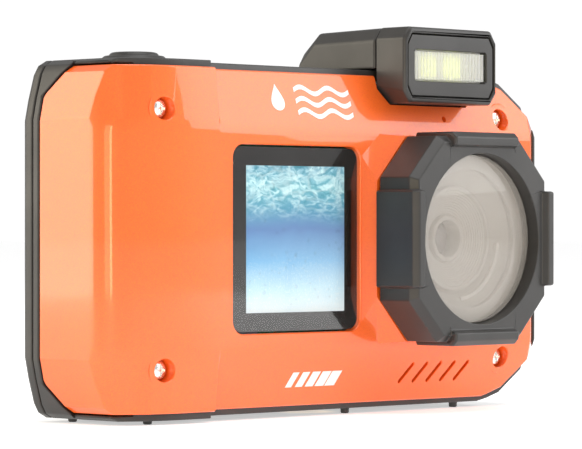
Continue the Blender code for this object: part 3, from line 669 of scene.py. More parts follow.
def make_dial_tree():
    """Copies of an item round the Y axis of a centre, a fixed angle apart."""
    kinds = {
        "Item": "Object", "Count": "Int", "Centre": "Vector", "First Angle": "Float", "Step Angle": "Float",
        "Material": "Material",
    }
    graph, given = geometry_tree("dial", kinds)
    points = graph.node("GeometryNodePoints", None, {"Count": given["Count"], "Position": given["Centre"]})
    number = graph.node("GeometryNodeInputIndex")
    angle = given["First Angle"] + given["Step Angle"] * number
    turn = graph.node("ShaderNodeCombineXYZ", None, {0: 0.0, 1: angle * -1.0, 2: 0.0})
    item = graph.node("GeometryNodeObjectInfo", None, {"Object": given["Item"]}, output="Geometry")
    sockets = {"Points": points, "Instance": item, "Rotation": turn}
    copies = graph.node("GeometryNodeInstanceOnPoints", None, sockets)
    return finish_tree(graph, copies, given["Material"])


def make_places_tree():
    """Copies of an item at the points of the object's own mesh."""
    graph, given = geometry_tree("places", {"Item": "Object", "Material": "Material"})
    item = graph.node("GeometryNodeObjectInfo", None, {"Object": given["Item"]}, output="Geometry")
    copies = graph.node("GeometryNodeInstanceOnPoints", None, {"Points": given["Geometry"], "Instance": item})
    return finish_tree(graph, copies, given["Material"])


ROW, DIAL, PLACES = make_row_tree(), make_dial_tree(), make_places_tree()


def repeated(name, tree, item, material, points=(), **inputs):
    """A plain mesh of the copies that a tree makes; the item is removed."""
    mesh = bpy.data.meshes.new(name)
    mesh.from_pydata([tuple(point) for point in points], [], [])
    piece = bpy.data.objects.new(name, mesh)
    bpy.context.scene.collection.objects.link(piece)
    modifier = piece.modifiers.new(tree.name, "NODES")
    modifier.node_group = tree
    values = {"Item": item, "Material": material, **{key.replace("_", " "): v for key, v in inputs.items()}}
    for socket in tree.interface.items_tree:
        if socket.in_out == "INPUT" and socket.name in values:
            modifier[socket.identifier] = values[socket.name]
    settle(piece)
    bpy.data.objects.remove(item, do_unlink=True)
    return piece


# ------------------------------------------------------------------ front shell
def follow(knots, x, blur=0.0):
    """Straight lines between knots, with corners blurred over a width."""
    xs, values = [k[0] for k in knots], [k[1] for k in knots]
    spots = np.clip(np.linspace(x - blur, x + blur, 9), xs[0], xs[-1])
    return float(np.interp(spots, xs, values).mean())


def curve_points(points, steps):
    """A cubic Bezier curve, sampled."""
    p = [np.array(point) for point in points]
    return [
        tuple((1 - t) ** 3 * p[0] + 3 * (1 - t) ** 2 * t * p[1] + 3 * (1 - t) * t ** 2 * p[2] + t ** 3 * p[3])
        for t in np.linspace(0, 1, steps + 1)
    ]


GRIP_SAG = CORNER_END[1] - FRONT_Y
GRIP_RUN = SEAM_X - CORNER_END[0]
corner_handle = (-53.4, CORNER_END[1] + 4.7 * GRIP_SAG / GRIP_RUN)
corner = curve_points([(SIDE_X, 2.0), (SIDE_X, -1.2), corner_handle, CORNER_END], 20)
sweep = [
    (x, FRONT_Y + GRIP_SAG * ((SEAM_X - x) / GRIP_RUN) ** 2)
    for x in np.linspace(CORNER_END[0], SEAM_X, 18)
]
MIDDLE_PLAN = corner + sweep[1:] + [(END_SLOPE_X, FRONT_Y), (SHELL_END_X, BAND_Y)]
GRIP_EDGE_PLAN = [
    (SIDE_X, 2.2), (-54.05, 0.4), (-52.95, -1.0), (-52.45, -1.8), (-48.15, -4.8), (-44.2, -5.8),
    (-40.25, -6.2), (SEAM_X, -6.3), (SEAM_X + 9, -6.35),
]
TOP_LINE = [
    (SIDE_X, 21.0), (-55.45, 25.0), (-54.05, 29.5), (-52.95, GRIP_TOP), (40.5, GRIP_TOP), (41.95, 30.3),
    (45.65, 29.1), (54.55, 21.5), (SHELL_END_X, 19.5),
]
SEAM_HALF = 0.30


def past_seam(x):
    """0 on the grip and 1 beyond the seam, with a short smooth step."""
    t = min(1.0, max(0.0, (x - SEAM_X + SEAM_HALF) / (2 * SEAM_HALF)))
    return t * t * (3 - 2 * t)


def top_at(x):
    return follow(TOP_LINE, x) - (GRIP_TOP - BAND_TOP) * past_seam(x) * (x < 40.5)


def edge_y(x):
    """Front of the shell at its top and bottom edges."""
    grip = follow(GRIP_EDGE_PLAN, x, 0.5)
    band = FRONT_Y + (BAND_Y - FRONT_Y) / (BAND_TOP - CREASE) * max(0.0, top_at(x) - CREASE)
    return max(grip + (band - grip) * past_seam(x), follow(MIDDLE_PLAN, x) if x > END_SLOPE_X else FRONT_Y)


def past_crease(height):
    """Height beyond the crease, with the fold rounded."""
    over = abs(height) - CREASE
    if over <= -CREASE_SOFT:
        return 0.0
    return over if over >= CREASE_SOFT else (over + CREASE_SOFT) ** 2 / (4 * CREASE_SOFT)


def front_at(x, height):
    """Front surface of the shell."""
    plan = follow(MIDDLE_PLAN, x, 0.3 if x > 0 else 0.0)
    return plan + past_crease(height) / max(1.0, top_at(x) - CREASE) * (edge_y(x) - plan)


def section(x):
    """The shell's closed outline at x, its front edges rounded."""
    top = top_at(x)
    low, high = CREASE - CREASE_SOFT, min(CREASE + CREASE_SOFT, top - 0.6)
    heights = [low + (high - low) * i / 6 for i in range(7)]
    rear = WRAP_Y - max(0.0, top - WRAP_CORNER)
    face = [(front_at(x, h), h) for h in heights]
    tail = [(edge_y(x), top), (rear, top), (WRAP_Y, min(WRAP_CORNER, top - 0.4))]
    half = face + eased([face[-1], *tail], EDGE_ROUND, closed=False, steps=4)[1:-1]
    del half[-4:]
    half += tail[1:]
    return [at(x, y, h) for y, h in half] + [at(x, y, -h) for y, h in reversed(half)]


EDGE_ROUND = 0.45


def shell_stations(low, high):
    """Places along the shell where its form is sampled: close together where it bends."""
    places = [x for x, _ in MIDDLE_PLAN + TOP_LINE]
    places += list(np.arange(-53.6, -47.0, 0.4)) + list(np.linspace(SEAM_X - SEAM_HALF, SEAM_X + SEAM_HALF, 11))
    places += [END_SLOPE_X + step for step in (-0.3, -0.15, 0.15, 0.3)]
    kept = [low]
    for x in sorted(places):
        if kept[-1] + 0.055 < x < high - 0.055:
            kept.append(float(x))
    return kept + [high]


def back_section(x, depth, edge_depth):
    """All that lies behind the shell's plate at x, and a little beyond its edge."""
    top = top_at(x)
    inner = follow(MIDDLE_PLAN, x) + depth
    edge = edge_y(x) + edge_depth
    crease = min(CREASE, top - 0.8)
    half = [(inner, crease), (edge + (edge - inner) / (top - crease), top + 1.0), (WRAP_Y + 6, top + 1.0)]
    return [at(x, y, h) for y, h in half] + [at(x, y, -h) for y, h in reversed(half)]


def room_section(x, depth):
    """The hollow of the wrapped grip at x."""
    top = min(top_at(x), GRIP_TOP) - WALL
    front = follow(MIDDLE_PLAN, x) + depth
    half = [(front, CREASE), (max(front, edge_y(x) + depth), top), (WRAP_Y + 6, top)]
    return [at(x, y, h) for y, h in half] + [at(x, y, -h) for y, h in reversed(half)]


def sunk(name, outline, levels):
    """A pit's form: outline(grow) at each (depth under the front surface, grow)."""
    return loft(name, [
        [at(x, front_at(x, h) + depth, h) for x, h in outline(grow)]
        for depth, grow in levels
    ])


def lip(radius, floor):
    """Levels of a pit with a rounded mouth."""
    return [(-1.5, 1.2 * radius), (-0.1, 1.2 * radius), (0.2 * radius, 0.5 * radius), (0.55 * radius, 0.14 * radius),
            (radius, 0), (floor, 0)]


def slot_outline(x):
    """A slanted speaker slot with round ends."""
    lean = atan2(3.5, 3.05)

    def outline(grow):
        points = rounded(2.45 + grow, 0.30 + grow, 0.29 + grow, steps=4)
        return [(x + a * cos(lean) - h * sin(lean), a * sin(lean) + h * cos(lean) - 25.25) for a, h in points]
    return outline


def disc_outline(radius, x, height, steps=48):
    def outline(grow):
        turns = [2 * pi * (i + 0.13) / steps for i in range(steps)]
        return [(x + (radius + grow) * cos(t), height + (radius + grow) * sin(t)) for t in turns]
    return outline


def make_front_shell():
    shell = loft("front_shell_moulding", [section(x) for x in shell_stations(SIDE_X, SHELL_END_X)])
    grip_room = loft("grip_room", [room_section(x, WALL - 0.1) for x in shell_stations(SIDE_X + WALL, -49.9)])
    stations = [*shell_stations(-50.0, SHELL_END_X), SHELL_END_X + 2]
    back = loft("back", [back_section(x, WALL, 0.8) for x in stations])
    cut(shell, grip_room, back)
    base = octagon(20.55, 19.5, 4.9, 4.1, (LENS_X, 0))
    top = octagon(19.3, 19.2, 7.9, 8.5, (LENS_X, 0))
    levels = ((FRONT_Y + 1.0, base), (FRONT_Y, base), (FRONT_Y - 2.7, top))
    fuse(shell, loft("plinth", [[at(x, y, h) for x, h in ring] for y, ring in levels]))
    bosses, pits = [], []
    for x, _, height in SCREW_PLACES:
        face = front_at(x, height)
        boss = [(0, face + 0.7), (3.2, face + 0.7), (3.2, face + 4.6), (0, face + 4.6)]
        bosses.append(turned("boss", boss, (x, height), sides=32))
        pits.append(sunk("pocket", disc_outline(2.0, x, height), lip(0.22, 2.6)))
        pits.append(sunk("shank_hole", disc_outline(1.1, x, height, 32), [(2.0, 0), (6.0, 0)]))
    fuse(shell, *bosses)
    pits += [sunk("slot", slot_outline(17.2 + 3.89 * i), lip(0.16, 4.5)) for i in range(5)]
    pits.append(sunk("microphone_hole", disc_outline(0.5, 26.95, 22.7, 20), lip(0.08, 4.0)))
    pits.append(sunk("display_hole", lambda grow: rounded(16.45 + grow, 16.97 + grow, 2.5 + grow, (GLASS_X, 0)),
                     lip(0.30, 4.0)))
    hole = [(0, -12), (15.0, -12), (15.0, 0), (0, 0)]
    cut(
        shell,
        *pits,
        turned("lens_hole", hole, (LENS_X, 0), sides=96),
        plate("lamp_notch", octagon(13.3, 8.0, 1.6, 2.4, (LAMP_X, 33.1), (2.6, 2.9)), -14, 0),
    )
    stands_for(evened(shell), "front_shell")


# ------------------------------------------------------------------ prints on the shell
def printed(name, outlines, surface, thickness=0.03):
    """White ink shapes, given as (x, height) outlines, laid on a surface."""
    shape = bmesh.new()
    for outline in outlines:
        shape.faces.new([shape.verts.new((x, 0.0, h)) for x, h in outline])
    bmesh.ops.triangulate(shape, faces=shape.faces)
    bmesh.ops.subdivide_edges(shape, edges=[e for e in shape.edges if e.calc_length() > 1.2], cuts=2)
    bmesh.ops.triangulate(shape, faces=shape.faces)
    for vert in shape.verts:
        vert.co = at(vert.co.x, surface(vert.co.x, vert.co.z) - 0.01, vert.co.z)
    bmesh.ops.recalc_face_normals(shape, faces=shape.faces)
    front = [f for f in shape.faces if f.normal.y > 0]
    bmesh.ops.reverse_faces(shape, faces=front)
    mesh = bpy.data.meshes.new(name)
    shape.to_mesh(mesh)
    shape.free()
    piece = bpy.data.objects.new(name, mesh)
    bpy.context.scene.collection.objects.link(piece)
    ink = piece.modifiers.new("ink", "SOLIDIFY")
    ink.thickness = thickness * MM
    ink.offset = 1.0
    return settle(piece)


def wave(x, height, length, swing=0.75, width=0.85):
    """The outline of a wavy stroke that starts at x."""
    count = 40
    line = [(x + length * i / count, height + swing * sin(2 * pi * 2 * i / count)) for i in range(count + 1)]
    return [(a, h + width / 2) for a, h in line] + [(a, h - width / 2) for a, h in reversed(line)]


def drop(x, height, size):
    """The outline of a water drop."""
    points = []
    for i in range(32):
        angle = 2 * pi * i / 32
        pinch = ((1 + sin(angle)) / 2) ** 2.2
        points.append((x + size * cos(angle) * (1 - 0.9 * pinch), height + size * (sin(angle) + 0.55 * pinch)))
    return points


def make_shell_prints():
    upper = [drop(-17.3, 25.2, 1.9)]
    upper += [wave(-12.6, height, 14.5, 0.6) for height in (27.2, 25.1, 23.0)]
    finished(printed("water_print", upper, front_at), PRINT, "camera_body")
    bars = []
    for i in range(5):
        x, half = 1.0 + 2.7 * i, 0.8 + 0.12 * i
        bars.append([(x - half - 0.7, -28.0), (x + half - 0.7, -28.0), (x + half + 0.7, -25.3), (x - half + 0.7, -25.3)])
    bars = [[(x - 14.4, h + 1.0) for x, h in bar] for bar in bars]
    finished(printed("depth_bars_print", bars, front_at), PRINT, "camera_body")


# ------------------------------------------------------------------ screws
def make_screws():
    """Four cross-head screws, as copies of one head and shank."""
    profile = [(0, -1.32), (0.9, -1.30), (1.45, -1.12), (1.7, -0.75), (1.7, 0.0), (0.9, 0.0), (0.9, 6.2), (0, 6.6)]
    screw = turned("screw", eased(profile, 0.12, closed=False), (0, 0), sides=40)
    for half_x, half_h in ((1.12, 0.2), (0.2, 1.12)):
        outline = [(half_x, half_h), (-half_x, half_h), (-half_x, -half_h), (half_x, -half_h)]
        cut(screw, plate("slot", outline, -2.5, -0.78))
    screw.data.transform(Matrix.Translation((0, 0, -MID_HEIGHT * MM)))
    points = []
    for x, _, height in SCREW_PLACES:
        low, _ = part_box(f"case_screw_{len(points) + 1}")
        points.append((x * MM, low.y + 1.35 * MM, (height + MID_HEIGHT) * MM))
    screws = repeated("case_screws", PLACES, screw, FINISHES["steel"], points=points)
    screws.data.shade_smooth()
    screws.data.set_sharp_from_angle(angle=radians(35))
    stands_for(screws, "case_screw_1", "case_screw_2", "case_screw_3", "case_screw_4")


# ------------------------------------------------------------------ screens
def frame_plate(name, outer, inner, low_y, high_y):
    """A band between two outlines with the same number of points."""
    shape = bmesh.new()
    loops = ((outer, low_y), (outer, high_y), (inner, high_y), (inner, low_y))
    rings = [[shape.verts.new(at(x, y, h)) for x, h in outline] for outline, y in loops]
    for ring, following in zip(rings, rings[1:] + rings[:1]):
        for i in range(len(ring)):
            j = (i + 1) % len(ring)
            shape.faces.new((ring[i], ring[j], following[j], following[i]))
    return as_object(name, shape)


CLEAR_GLASS = make_clear("screen_glass", (0.02, 0.02, 0.02), 0.04, 0.03, 0.02)


def make_screen(side, node, window, depth):
    """Cover glass with a black border printed behind it, open over the lit panel."""
    low, high = (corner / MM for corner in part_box(node))
    half_x, half_h = (high.x - low.x) / 2, (high.z - low.z) / 2
    centre = ((high.x + low.x) / 2, (high.z + low.z) / 2 - MID_HEIGHT)
    levels = [(low.y, 0.22), (low.y + 0.22, 0.0), (high.y - 0.22, 0.0), (high.y, 0.22)]
    rings = []
    for y, inset in levels:
        outline = rounded(half_x - inset, half_h - inset, 2.2 - inset, centre)
        rings.append([at(x, y, h) for x, h in outline])
    glass = loft(f"{side}_cover_glass", rings, split=False)
    soften(glass, 0.08, 2, 25)
    stands_for(glass, node, material=CLEAR_GLASS)
    (window_x, window_h), (shift_x, shift_h) = window
    border = frame_plate(
        f"{side}_glass_border",
        rounded(half_x - 0.02, half_h - 0.02, 2.2, centre),
        rounded(window_x, window_h, 0.15, (centre[0] + shift_x, centre[1] + shift_h)),
        *depth,
    )
    finished(border, FINISHES["dark_glass"], "camera_body")


def make_screens():
    glass_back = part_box("front_display_glass")[1].y / MM
    make_screen(
        "front", "front_display_glass",
        (DISPLAY_HALF, (0.05, 0.0)), (glass_back - 0.95, glass_back - 0.85),
    )
    rear_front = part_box("rear_display_glass")[0].y / MM
    make_screen(
        "rear", "rear_display_glass",
        ((29.5, 22.1), (0.0, 0.0)), (rear_front + 0.85, rear_front + 0.95),
    )
    x, _, height = middle("rear_display_panel")
    rear_picture = make_water_picture("rear_picture", (x, height), (29.5, 22.1))
    nodes["rear_display_panel"].data.materials[0] = rear_picture


# ------------------------------------------------------------------ lens
HOUSING_BACK, HOUSING_FRONT, LUG_FRONT = -10.3, -19.2, -20.5


def lug(name, side, upright):
    """One of the four bars: chamfered at its outer front edge, sloped at its inner one."""
    profile = [(16.9, -10.3), (16.9, -19.0), (17.5, LUG_FRONT), (18.9, LUG_FRONT), (19.9, -19.5), (19.9, -10.3)]
    rings = []
    for along in (-9.0, -8.75, 8.75, 9.0):
        drawn = 0.45 * (abs(along) > 8.9)
        points = []
        for out, y in profile:
            reach = side * (out - drawn * (out > 19))
            depth = y + drawn * (y < -18)
            points.append(at(LENS_X + along, depth, reach) if upright else at(LENS_X + reach, depth, along))
        rings.append(points)
    return loft(name, rings, split=False)


def make_lens_housing():
    rings = []
    for y, inset in ((HOUSING_BACK, 0.0), (HOUSING_FRONT + 1.5, 0.0), (HOUSING_FRONT, 1.15)):
        ring = octagon(18.9 - inset, 19.1 - inset, 7.5 - 0.5 * inset, 7.7 - 0.5 * inset, (LENS_X, 0))
        rings.append([at(x, y, h) for x, h in ring])
    housing = loft("lens_housing_moulding", rings)
    lugs = [lug("lug", side, upright) for side in (-1, 1) for upright in (True, False)]
    fuse(housing, *lugs)
    bore = [(0, -25), (16.0, -25), (16.0, -13.6), (14.5, -13.6), (14.5, -8), (0, -8)]
    cut(housing, turned("bore", bore, (LENS_X, 0), sides=128))
    soften(housing, 0.22, angle=24)
    stands_for(housing, "lens_housing")


def make_lens_barrel():
    """Conical wall, a raised lip, fine steps, and the nose that holds the front element."""
    wall = [(14.2, -7.0), (14.2, -14.3), (12.9, -14.3), (12.6, -13.9), (10.3, -11.2)]
    lip = [(9.9, -11.2), (9.8, -12.1), (9.2, -12.1)]
    steps = []
    count = 11
    for i in range(count):
        outer = 9.1 - (9.1 - 4.5) * i / count
        inner = 9.1 - (9.1 - 4.5) * (i + 1) / count
        y = -11.8 + 2.3 * i / count
        steps += [(outer, y), (outer - 0.08, y + 0.19), (inner + 0.1, y + 0.22)]
    nose = [(4.5, -9.4), (4.35, -10.3), (4.0, -10.45), (3.5, -10.3), (3.4, -8.4), (3.4, -7.0)]
    profile = eased(wall + lip + steps + nose, 0.1, closed=True, steps=2)
    barrel = turned("lens_barrel_rings", profile, (LENS_X, 0), sides=128)
    barrel.data.set_sharp_from_angle(angle=radians(50))
    stands_for(barrel, "lens_barrel")

    tick_outline = rounded(0.55, 0.75, 0.12, (11.55, 0), 2)
    tick = plate("tick", tick_outline, -12.95, -12.3)
    tick.data.transform(Matrix.Translation((0, 0, -MID_HEIGHT * MM)))
    ticks = repeated(
        "barrel_marks", DIAL, tick, PALE_MARK, Count=11, Centre=tuple(at(LENS_X, 0, 0)),
        First_Angle=radians(-82), Step_Angle=radians(7.4),
    )
    finished(ticks, PALE_MARK, "camera_body")


PALE_MARK = make_pale_plastic("pale_mark", (0.72, 0.69, 0.65), (0.62, 0.59, 0.55))


def make_lens():
    centre = (LENS_X, 0)
    window = eased([(0, -16.8), (15.8, -16.8), (15.8, -15.6), (0, -15.6)], 0.25, closed=False)
    stands_for(turned("port_window", window, centre, sides=128), "lens_window")
    ring = eased([(15.8, -15.45), (15.8, -14.5), (13.0, -14.5), (13.0, -15.45)], 0.2)
    stands_for(turned("lens_bezel_ring", ring, centre, sides=128), "lens_bezel")
    dome = [(3.3 * sin(a), -7.1 - 1.5 * (cos(a) - cos(radians(68))) / 0.63) for a in np.linspace(0, radians(68), 9)]
    scale = 3.2 / dome[-1][0]
    dome = [(0, dome[0][1])] + [(r * scale, y) for r, y in dome[1:]] + [(3.2, -7.05), (0, -7.05)]
    element = turned("front_element_dome", dome, centre, sides=64)
    element.data.set_sharp_from_angle(angle=radians(40))
    stands_for(element, "front_element", material=DEEP_GLASS)
    make_lens_barrel()
    make_lens_housing()


DEEP_GLASS = make_clear("coated_element", (0.30, 0.27, 0.27), 0.55, 0.03, 0.05)


# ------------------------------------------------------------------ lamp
def make_lamp_bezel():
    x, _, height = middle("lamp_bezel")
    low, high = (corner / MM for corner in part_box("lamp_bezel"))
    rings = []
    for y, inset in ((high.y, 0), (low.y + 0.22, 0), (low.y + 0.07, 0.07), (low.y, 0.24)):
        ring = octagon(11.95 - inset, 5.7 - inset, 1.2 - 0.4 * inset, 1.9 - 0.4 * inset, (x, height))
        rings.append([at(a, y, h) for a, h in ring])
    bezel = loft("lamp_bezel_moulding", rings, split=False)
    mouth = []
    for y, grow in ((low.y - 2, 0.3), (low.y - 0.1, 0.3), (low.y + 0.07, 0.07), (low.y + 0.25, 0), (high.y + 2, 0)):
        mouth.append([at(a, y, h) for a, h in rounded(10.08 + grow, 2.92 + grow, 0.6 + grow, (x, height))])
    cut(bezel, loft("window_hole", mouth, split=False))
    stands_for(evened(bezel), "lamp_bezel")


def make_lamp():
    refined("lamp_front_housing", 0.30)
    refined("lamp_rear_housing", 0.45)
    make_lamp_bezel()
    low, high = (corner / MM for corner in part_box("lamp_lens"))
    centre = ((low.x + high.x) / 2, (low.z + high.z) / 2 - MID_HEIGHT)
    half_x, half_h = (high.x - low.x) / 2, (high.z - low.z) / 2
    slab = plate("lamp_window", rounded(half_x, half_h, 0.5, centre), low.y + 0.5, high.y)
    soften(slab, 0.1, 2)
    stands_for(slab, "lamp_lens", material=LAMP_CLEAR)
    count = 22
    pitch = 2 * (half_x - 0.15) / count
    radius = pitch * 0.46
    arc = [(radius * cos(a), -radius * sin(a) * 1.25) for a in np.linspace(0, pi, 9)]
    sections = [[at(x, y + low.y + 0.58, h) for x, y in arc] for h in (-half_h + 0.15, half_h - 0.15)]
    rib = loft("rib", sections, split=False)
    rib.data.transform(Matrix.Translation((0, 0, (centre[1]) * MM)))
    rib.data.shade_smooth()
    rib.data.set_sharp_from_angle(angle=radians(50))
    first = (low.x + 0.15 + pitch / 2) * MM
    ribs = repeated(
        "lamp_window_ribs", ROW, rib, LAMP_RIB, Count=count, Start=(first, 0, 0), Step=(pitch * MM, 0, 0),
    )
    finished(ribs, LAMP_RIB, "camera_body")


LAMP_CLEAR = make_clear("lamp_clear", (0.85, 0.86, 0.84), 0.12, 0.05, 0.04)
LAMP_RIB = make_clear("lamp_rib", (0.92, 0.93, 0.92), 0.42, 0.10, 0.10)


# ------------------------------------------------------------------ controls
def disc_icon(radius, centre, steps=20):
    angles = [2 * pi * i / steps for i in range(steps)]
    return [(centre[0] + radius * cos(a), centre[1] + radius * sin(a)) for a in angles]


def box_icon(x0, x1, h0, h1):
    return [(x0, h0), (x1, h0), (x1, h1), (x0, h1)]


ICONS = {
    "playback_button": [[(-0.8, -1.0), (1.2, 0.0), (-0.8, 1.0)]],
    "menu_button": [box_icon(-1.1, 1.1, h - 0.14, h + 0.14) for h in (-0.7, 0.0, 0.7)],
    "delete_button": [
        box_icon(-0.8, 0.8, -1.0, 0.45), box_icon(-1.1, 1.1, 0.62, 0.88), box_icon(-0.35, 0.35, 0.95, 1.2),
    ],
    "mode_button": [
        box_icon(-1.2, 1.2, -0.8, -0.55), box_icon(-1.2, 1.2, 0.45, 0.7), box_icon(-1.2, -0.95, -0.5, 0.4),
        box_icon(0.95, 1.2, -0.5, 0.4), disc_icon(0.36, (0, -0.05), 12), box_icon(-0.4, 0.4, 0.75, 1.0),
    ],
    "display_switch_button": [box_icon(-1.25, -0.15, -0.75, 0.75), box_icon(0.15, 1.25, -0.75, 0.75)],
    "ok_button": [disc_icon(0.75, (0, 0))],
}


def make_icon(node, body, outlines, face_y):
    """White print on the rear face of a control."""
    x, _, height = middle(node)
    moved = [[(x - a, height + h) for a, h in outline] for outline in outlines]
    icon = printed(f"{node}_print", moved, lambda a, h: face_y + 0.02)
    finished(icon, PRINT, body)


def make_rear_controls():
    for node, outlines in ICONS.items():
        low, high = (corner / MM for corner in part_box(node))
        x, _, height = middle(node)
        radius = (high.x - low.x) / 2
        rim = radius - (0.8 if node != "ok_button" else 0.0)
        base = [(rim, 17.3), (radius, 17.3), (radius, low.y)] if node != "ok_button" else [(rim, low.y)]
        crown = [(0, high.y - 0.18), (rim * 0.5, high.y - 0.12), (rim - 0.55, high.y), (rim, high.y - 0.5)]
        profile = eased(crown + base + [(0, low.y)], 0.25, closed=False)
        cap = turned(f"{node}_cap", profile, (x, height), sides=48)
        cap.data.set_sharp_from_angle(angle=radians(40))
        stands_for(cap, node)
        make_icon(node, node, outlines, high.y - 0.14)
    x, _, height = middle("direction_pad")
    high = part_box("direction_pad")[1].y / MM
    profile = [
        (4.4, 17.0), (9.6, 17.0), (9.6, 17.4), (8.8, 17.4), (8.8, high - 0.45), (8.2, high), (6.4, high - 0.25),
        (4.9, high - 0.35), (4.4, high - 0.6),
    ]
    pad = turned("direction_pad_ring", eased(profile, 0.3), (x, height), sides=96)
    pad.data.set_sharp_from_angle(angle=radians(45))
    stands_for(pad, "direction_pad")
    arrow = [(-0.75, -0.45), (0.75, -0.45), (0.0, 0.55)]
    arrows = []
    for quarter in range(4):
        c, s = cos(pi / 2 * quarter), sin(pi / 2 * quarter)
        arrows.append([(a * c - (h + 6.6) * s, a * s + (h + 6.6) * c) for a, h in arrow])
    make_icon("direction_pad", "direction_pad", arrows, high - 0.2)
    rocker = refined("zoom_rocker", 0.35)
    rocker_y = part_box("zoom_rocker")[1].y / MM
    minus = [box_icon(-6.6, -5.0, -0.15, 0.15)]
    plus = [box_icon(5.0, 6.6, -0.15, 0.15), box_icon(5.65, 5.95, -0.8, -0.18), box_icon(5.65, 5.95, 0.18, 0.8)]
    x, _, height = middle("zoom_rocker")

    def dished(a, _):
        return rocker_y - 0.2 + 0.0125 * (abs(a - x) - 5.8) ** 2

    moved = [[(x - a, height + h) for a, h in outline] for outline in minus + plus]
    finished(printed("zoom_rocker_print", moved, dished), PRINT, "zoom_rocker")
    return rocker


def make_top_controls():
    collar = [(4.8, 32.75), (5.3, 32.75), (5.93, 32.2), (5.93, 32.02), (5.05, 32.02), (5.05, 28.9), (1.8, 28.9),
              (1.8, 29.5), (4.8, 29.5)]
    ring = turned("shutter_collar_ring", eased(collar, 0.18), SHUTTER, "Z", 96)
    ring.data.set_sharp_from_angle(angle=radians(50))
    stands_for(ring, "shutter_collar")
    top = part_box("shutter_button")[1].z / MM - MID_HEIGHT
    button = [(0, top - 0.35), (2.0, top - 0.28), (3.5, top), (4.2, top - 0.18), (4.6, top - 0.75), (4.6, 31.6), (1.5, 31.6),
              (1.5, 27.9), (0, 27.9)]
    cap = turned("shutter_button_cap", eased(button, 0.3, closed=False), SHUTTER, "Z", 96)
    cap.data.set_sharp_from_angle(angle=radians(50))
    stands_for(cap, "shutter_button")
    x, y, _ = middle("power_button")
    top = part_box("power_button")[1].z / MM - MID_HEIGHT
    power = [(0, top - 0.15), (2.2, top), (2.9, top - 0.3), (2.9, 29.3), (0, 29.3)]
    cap = turned("power_button_cap", eased(power, 0.15, closed=False), (x, y), "Z", 64)
    cap.data.set_sharp_from_angle(angle=radians(50))
    stands_for(cap, "power_button")


def make_shutter_spring():
    """The shutter spring, a copy of its CAD mesh."""
    spring = bpy.data.objects.new("shutter_coil", nodes["shutter_spring"].data.copy())
    bpy.context.scene.collection.objects.link(spring)
    stands_for(spring, "shutter_spring")
    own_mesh(spring)


def make_dark_body():
    refined("mid_frame", 0.26, merge=0.06)
    refined("rear_cover", 0.30)
    refined("battery_door", 0.16)
    refined("door_latch", 0.10, 2)
    refined("tripod_bushing", 0.12, 2)
    refined("strap_bar", 0.10, 2)
    refined("door_hinge_pin", 0.08, 2)


make_front_shell()
make_shell_prints()
make_screws()
make_screens()
make_lens()
make_lamp()
make_rear_controls()
make_top_controls()
make_dark_body()
make_shutter_spring()


# ------------------------------------------------------------------ studio
def make_floor():
    """A large pale sheet on the table."""
    shape = bmesh.new()
    half = 6.0
    corners = [(-half, -half, 0), (half, -half, 0), (half, half, 0), (-half, half, 0)]
    shape.faces.new([shape.verts.new(corner) for corner in corners])
    mesh = bpy.data.meshes.new("floor")
    shape.to_mesh(mesh)
    shape.free()
    floor = bpy.data.objects.new("floor", mesh)
    bpy.context.scene.collection.objects.link(floor)
    glow = {"Emission_Color": (1.0, 1.0, 1.0, 1.0), "Emission_Strength": 0.5}
    pale = Finish("pale_floor", (0.93, 0.93, 0.93), 0.9, Specular_IOR_Level=0.1, **glow)
    pale.set("Base Color", pale.mix(pale.noise(0.02, 2.0), (0.92, 0.92, 0.92), (0.95, 0.95, 0.95)))
    mesh.materials.append(pale.material)


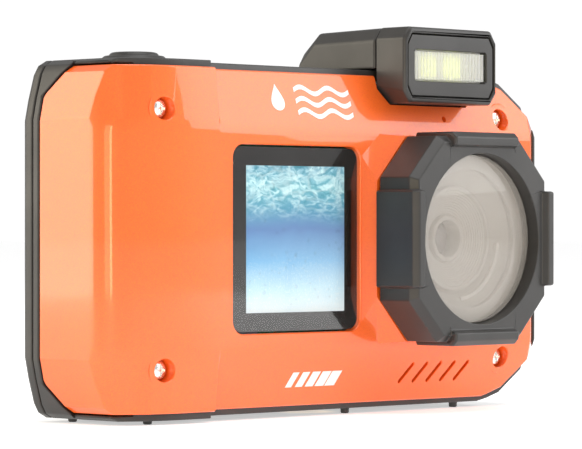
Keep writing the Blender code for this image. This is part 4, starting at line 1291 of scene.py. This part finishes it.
def softbox(name, azimuth, elevation, distance, size, radiance, tint=(1, 1, 1), aim=(0, 0, 0.03)):
    """An area light of even brightness that faces the camera body. Azimuth 0 is in front, 90 to the right."""
    a, e = radians(azimuth), radians(elevation)
    out = Vector((sin(a) * cos(e), -cos(a) * cos(e), sin(e)))
    light = bpy.data.lights.new(name, "AREA")
    light.shape = "RECTANGLE"
    light.size, light.size_y = size
    light.energy = radiance * pi * size[0] * size[1]
    light.color = tint
    lamp = bpy.data.objects.new(name, light)
    lamp.location = Vector(aim) + out * distance
    lamp.rotation_euler = (-out).to_track_quat("-Z", "Y").to_euler()
    lamp.visible_camera = False
    bpy.context.scene.collection.objects.link(lamp)


def make_world():
    """White surroundings: brighter to the eye than to the surfaces, as behind a photographed object."""
    world = bpy.data.worlds.new("studio")
    world.use_nodes = True
    graph = Graph(world.node_tree)
    world.node_tree.nodes.clear()
    seen = graph.node("ShaderNodeLightPath", output="Is Camera Ray")
    strength = 0.52 + seen * 0.50
    shown = graph.node("ShaderNodeBackground", None, {"Color": (1, 1, 1, 1), "Strength": strength})
    out = world.node_tree.nodes.new("ShaderNodeOutputWorld")
    graph.feed(out.inputs[0], shown)
    bpy.context.scene.world = world


def make_camera():
    data = bpy.data.cameras.new("camera")
    data.lens, data.sensor_width = 207.2, 36.0
    data.shift_y = 3 / 582
    data.clip_start, data.clip_end = 0.05, 50
    camera = bpy.data.objects.new("camera", data)
    camera.location = (-0.4486, -0.4329, 0.0347)
    camera.rotation_euler = Vector((0.7133, 0.7009, 0)).to_track_quat("-Z", "Y").to_euler()
    bpy.context.scene.collection.objects.link(camera)
    bpy.context.scene.camera = camera


make_floor()
make_world()
WARM = (1.0, 0.78, 0.42)
PALE_WARM = (1.0, 0.90, 0.72)
softbox("right_front", 48, 24, 1.1, (0.9, 0.75), 2.6)
softbox("left_back", -134, 16, 1.1, (0.7, 0.8), 3.6, PALE_WARM)
softbox("behind_camera", -50, 2, 1.2, (0.11, 0.50), 9.0, WARM)
softbox("grip_side", -60, 4, 1.2, (0.34, 0.50), 2.8, WARM)
softbox("overhead", 0, 78, 1.1, (0.9, 0.9), 2.2)
make_camera()
bpy.context.scene.view_settings.view_transform = "Standard"
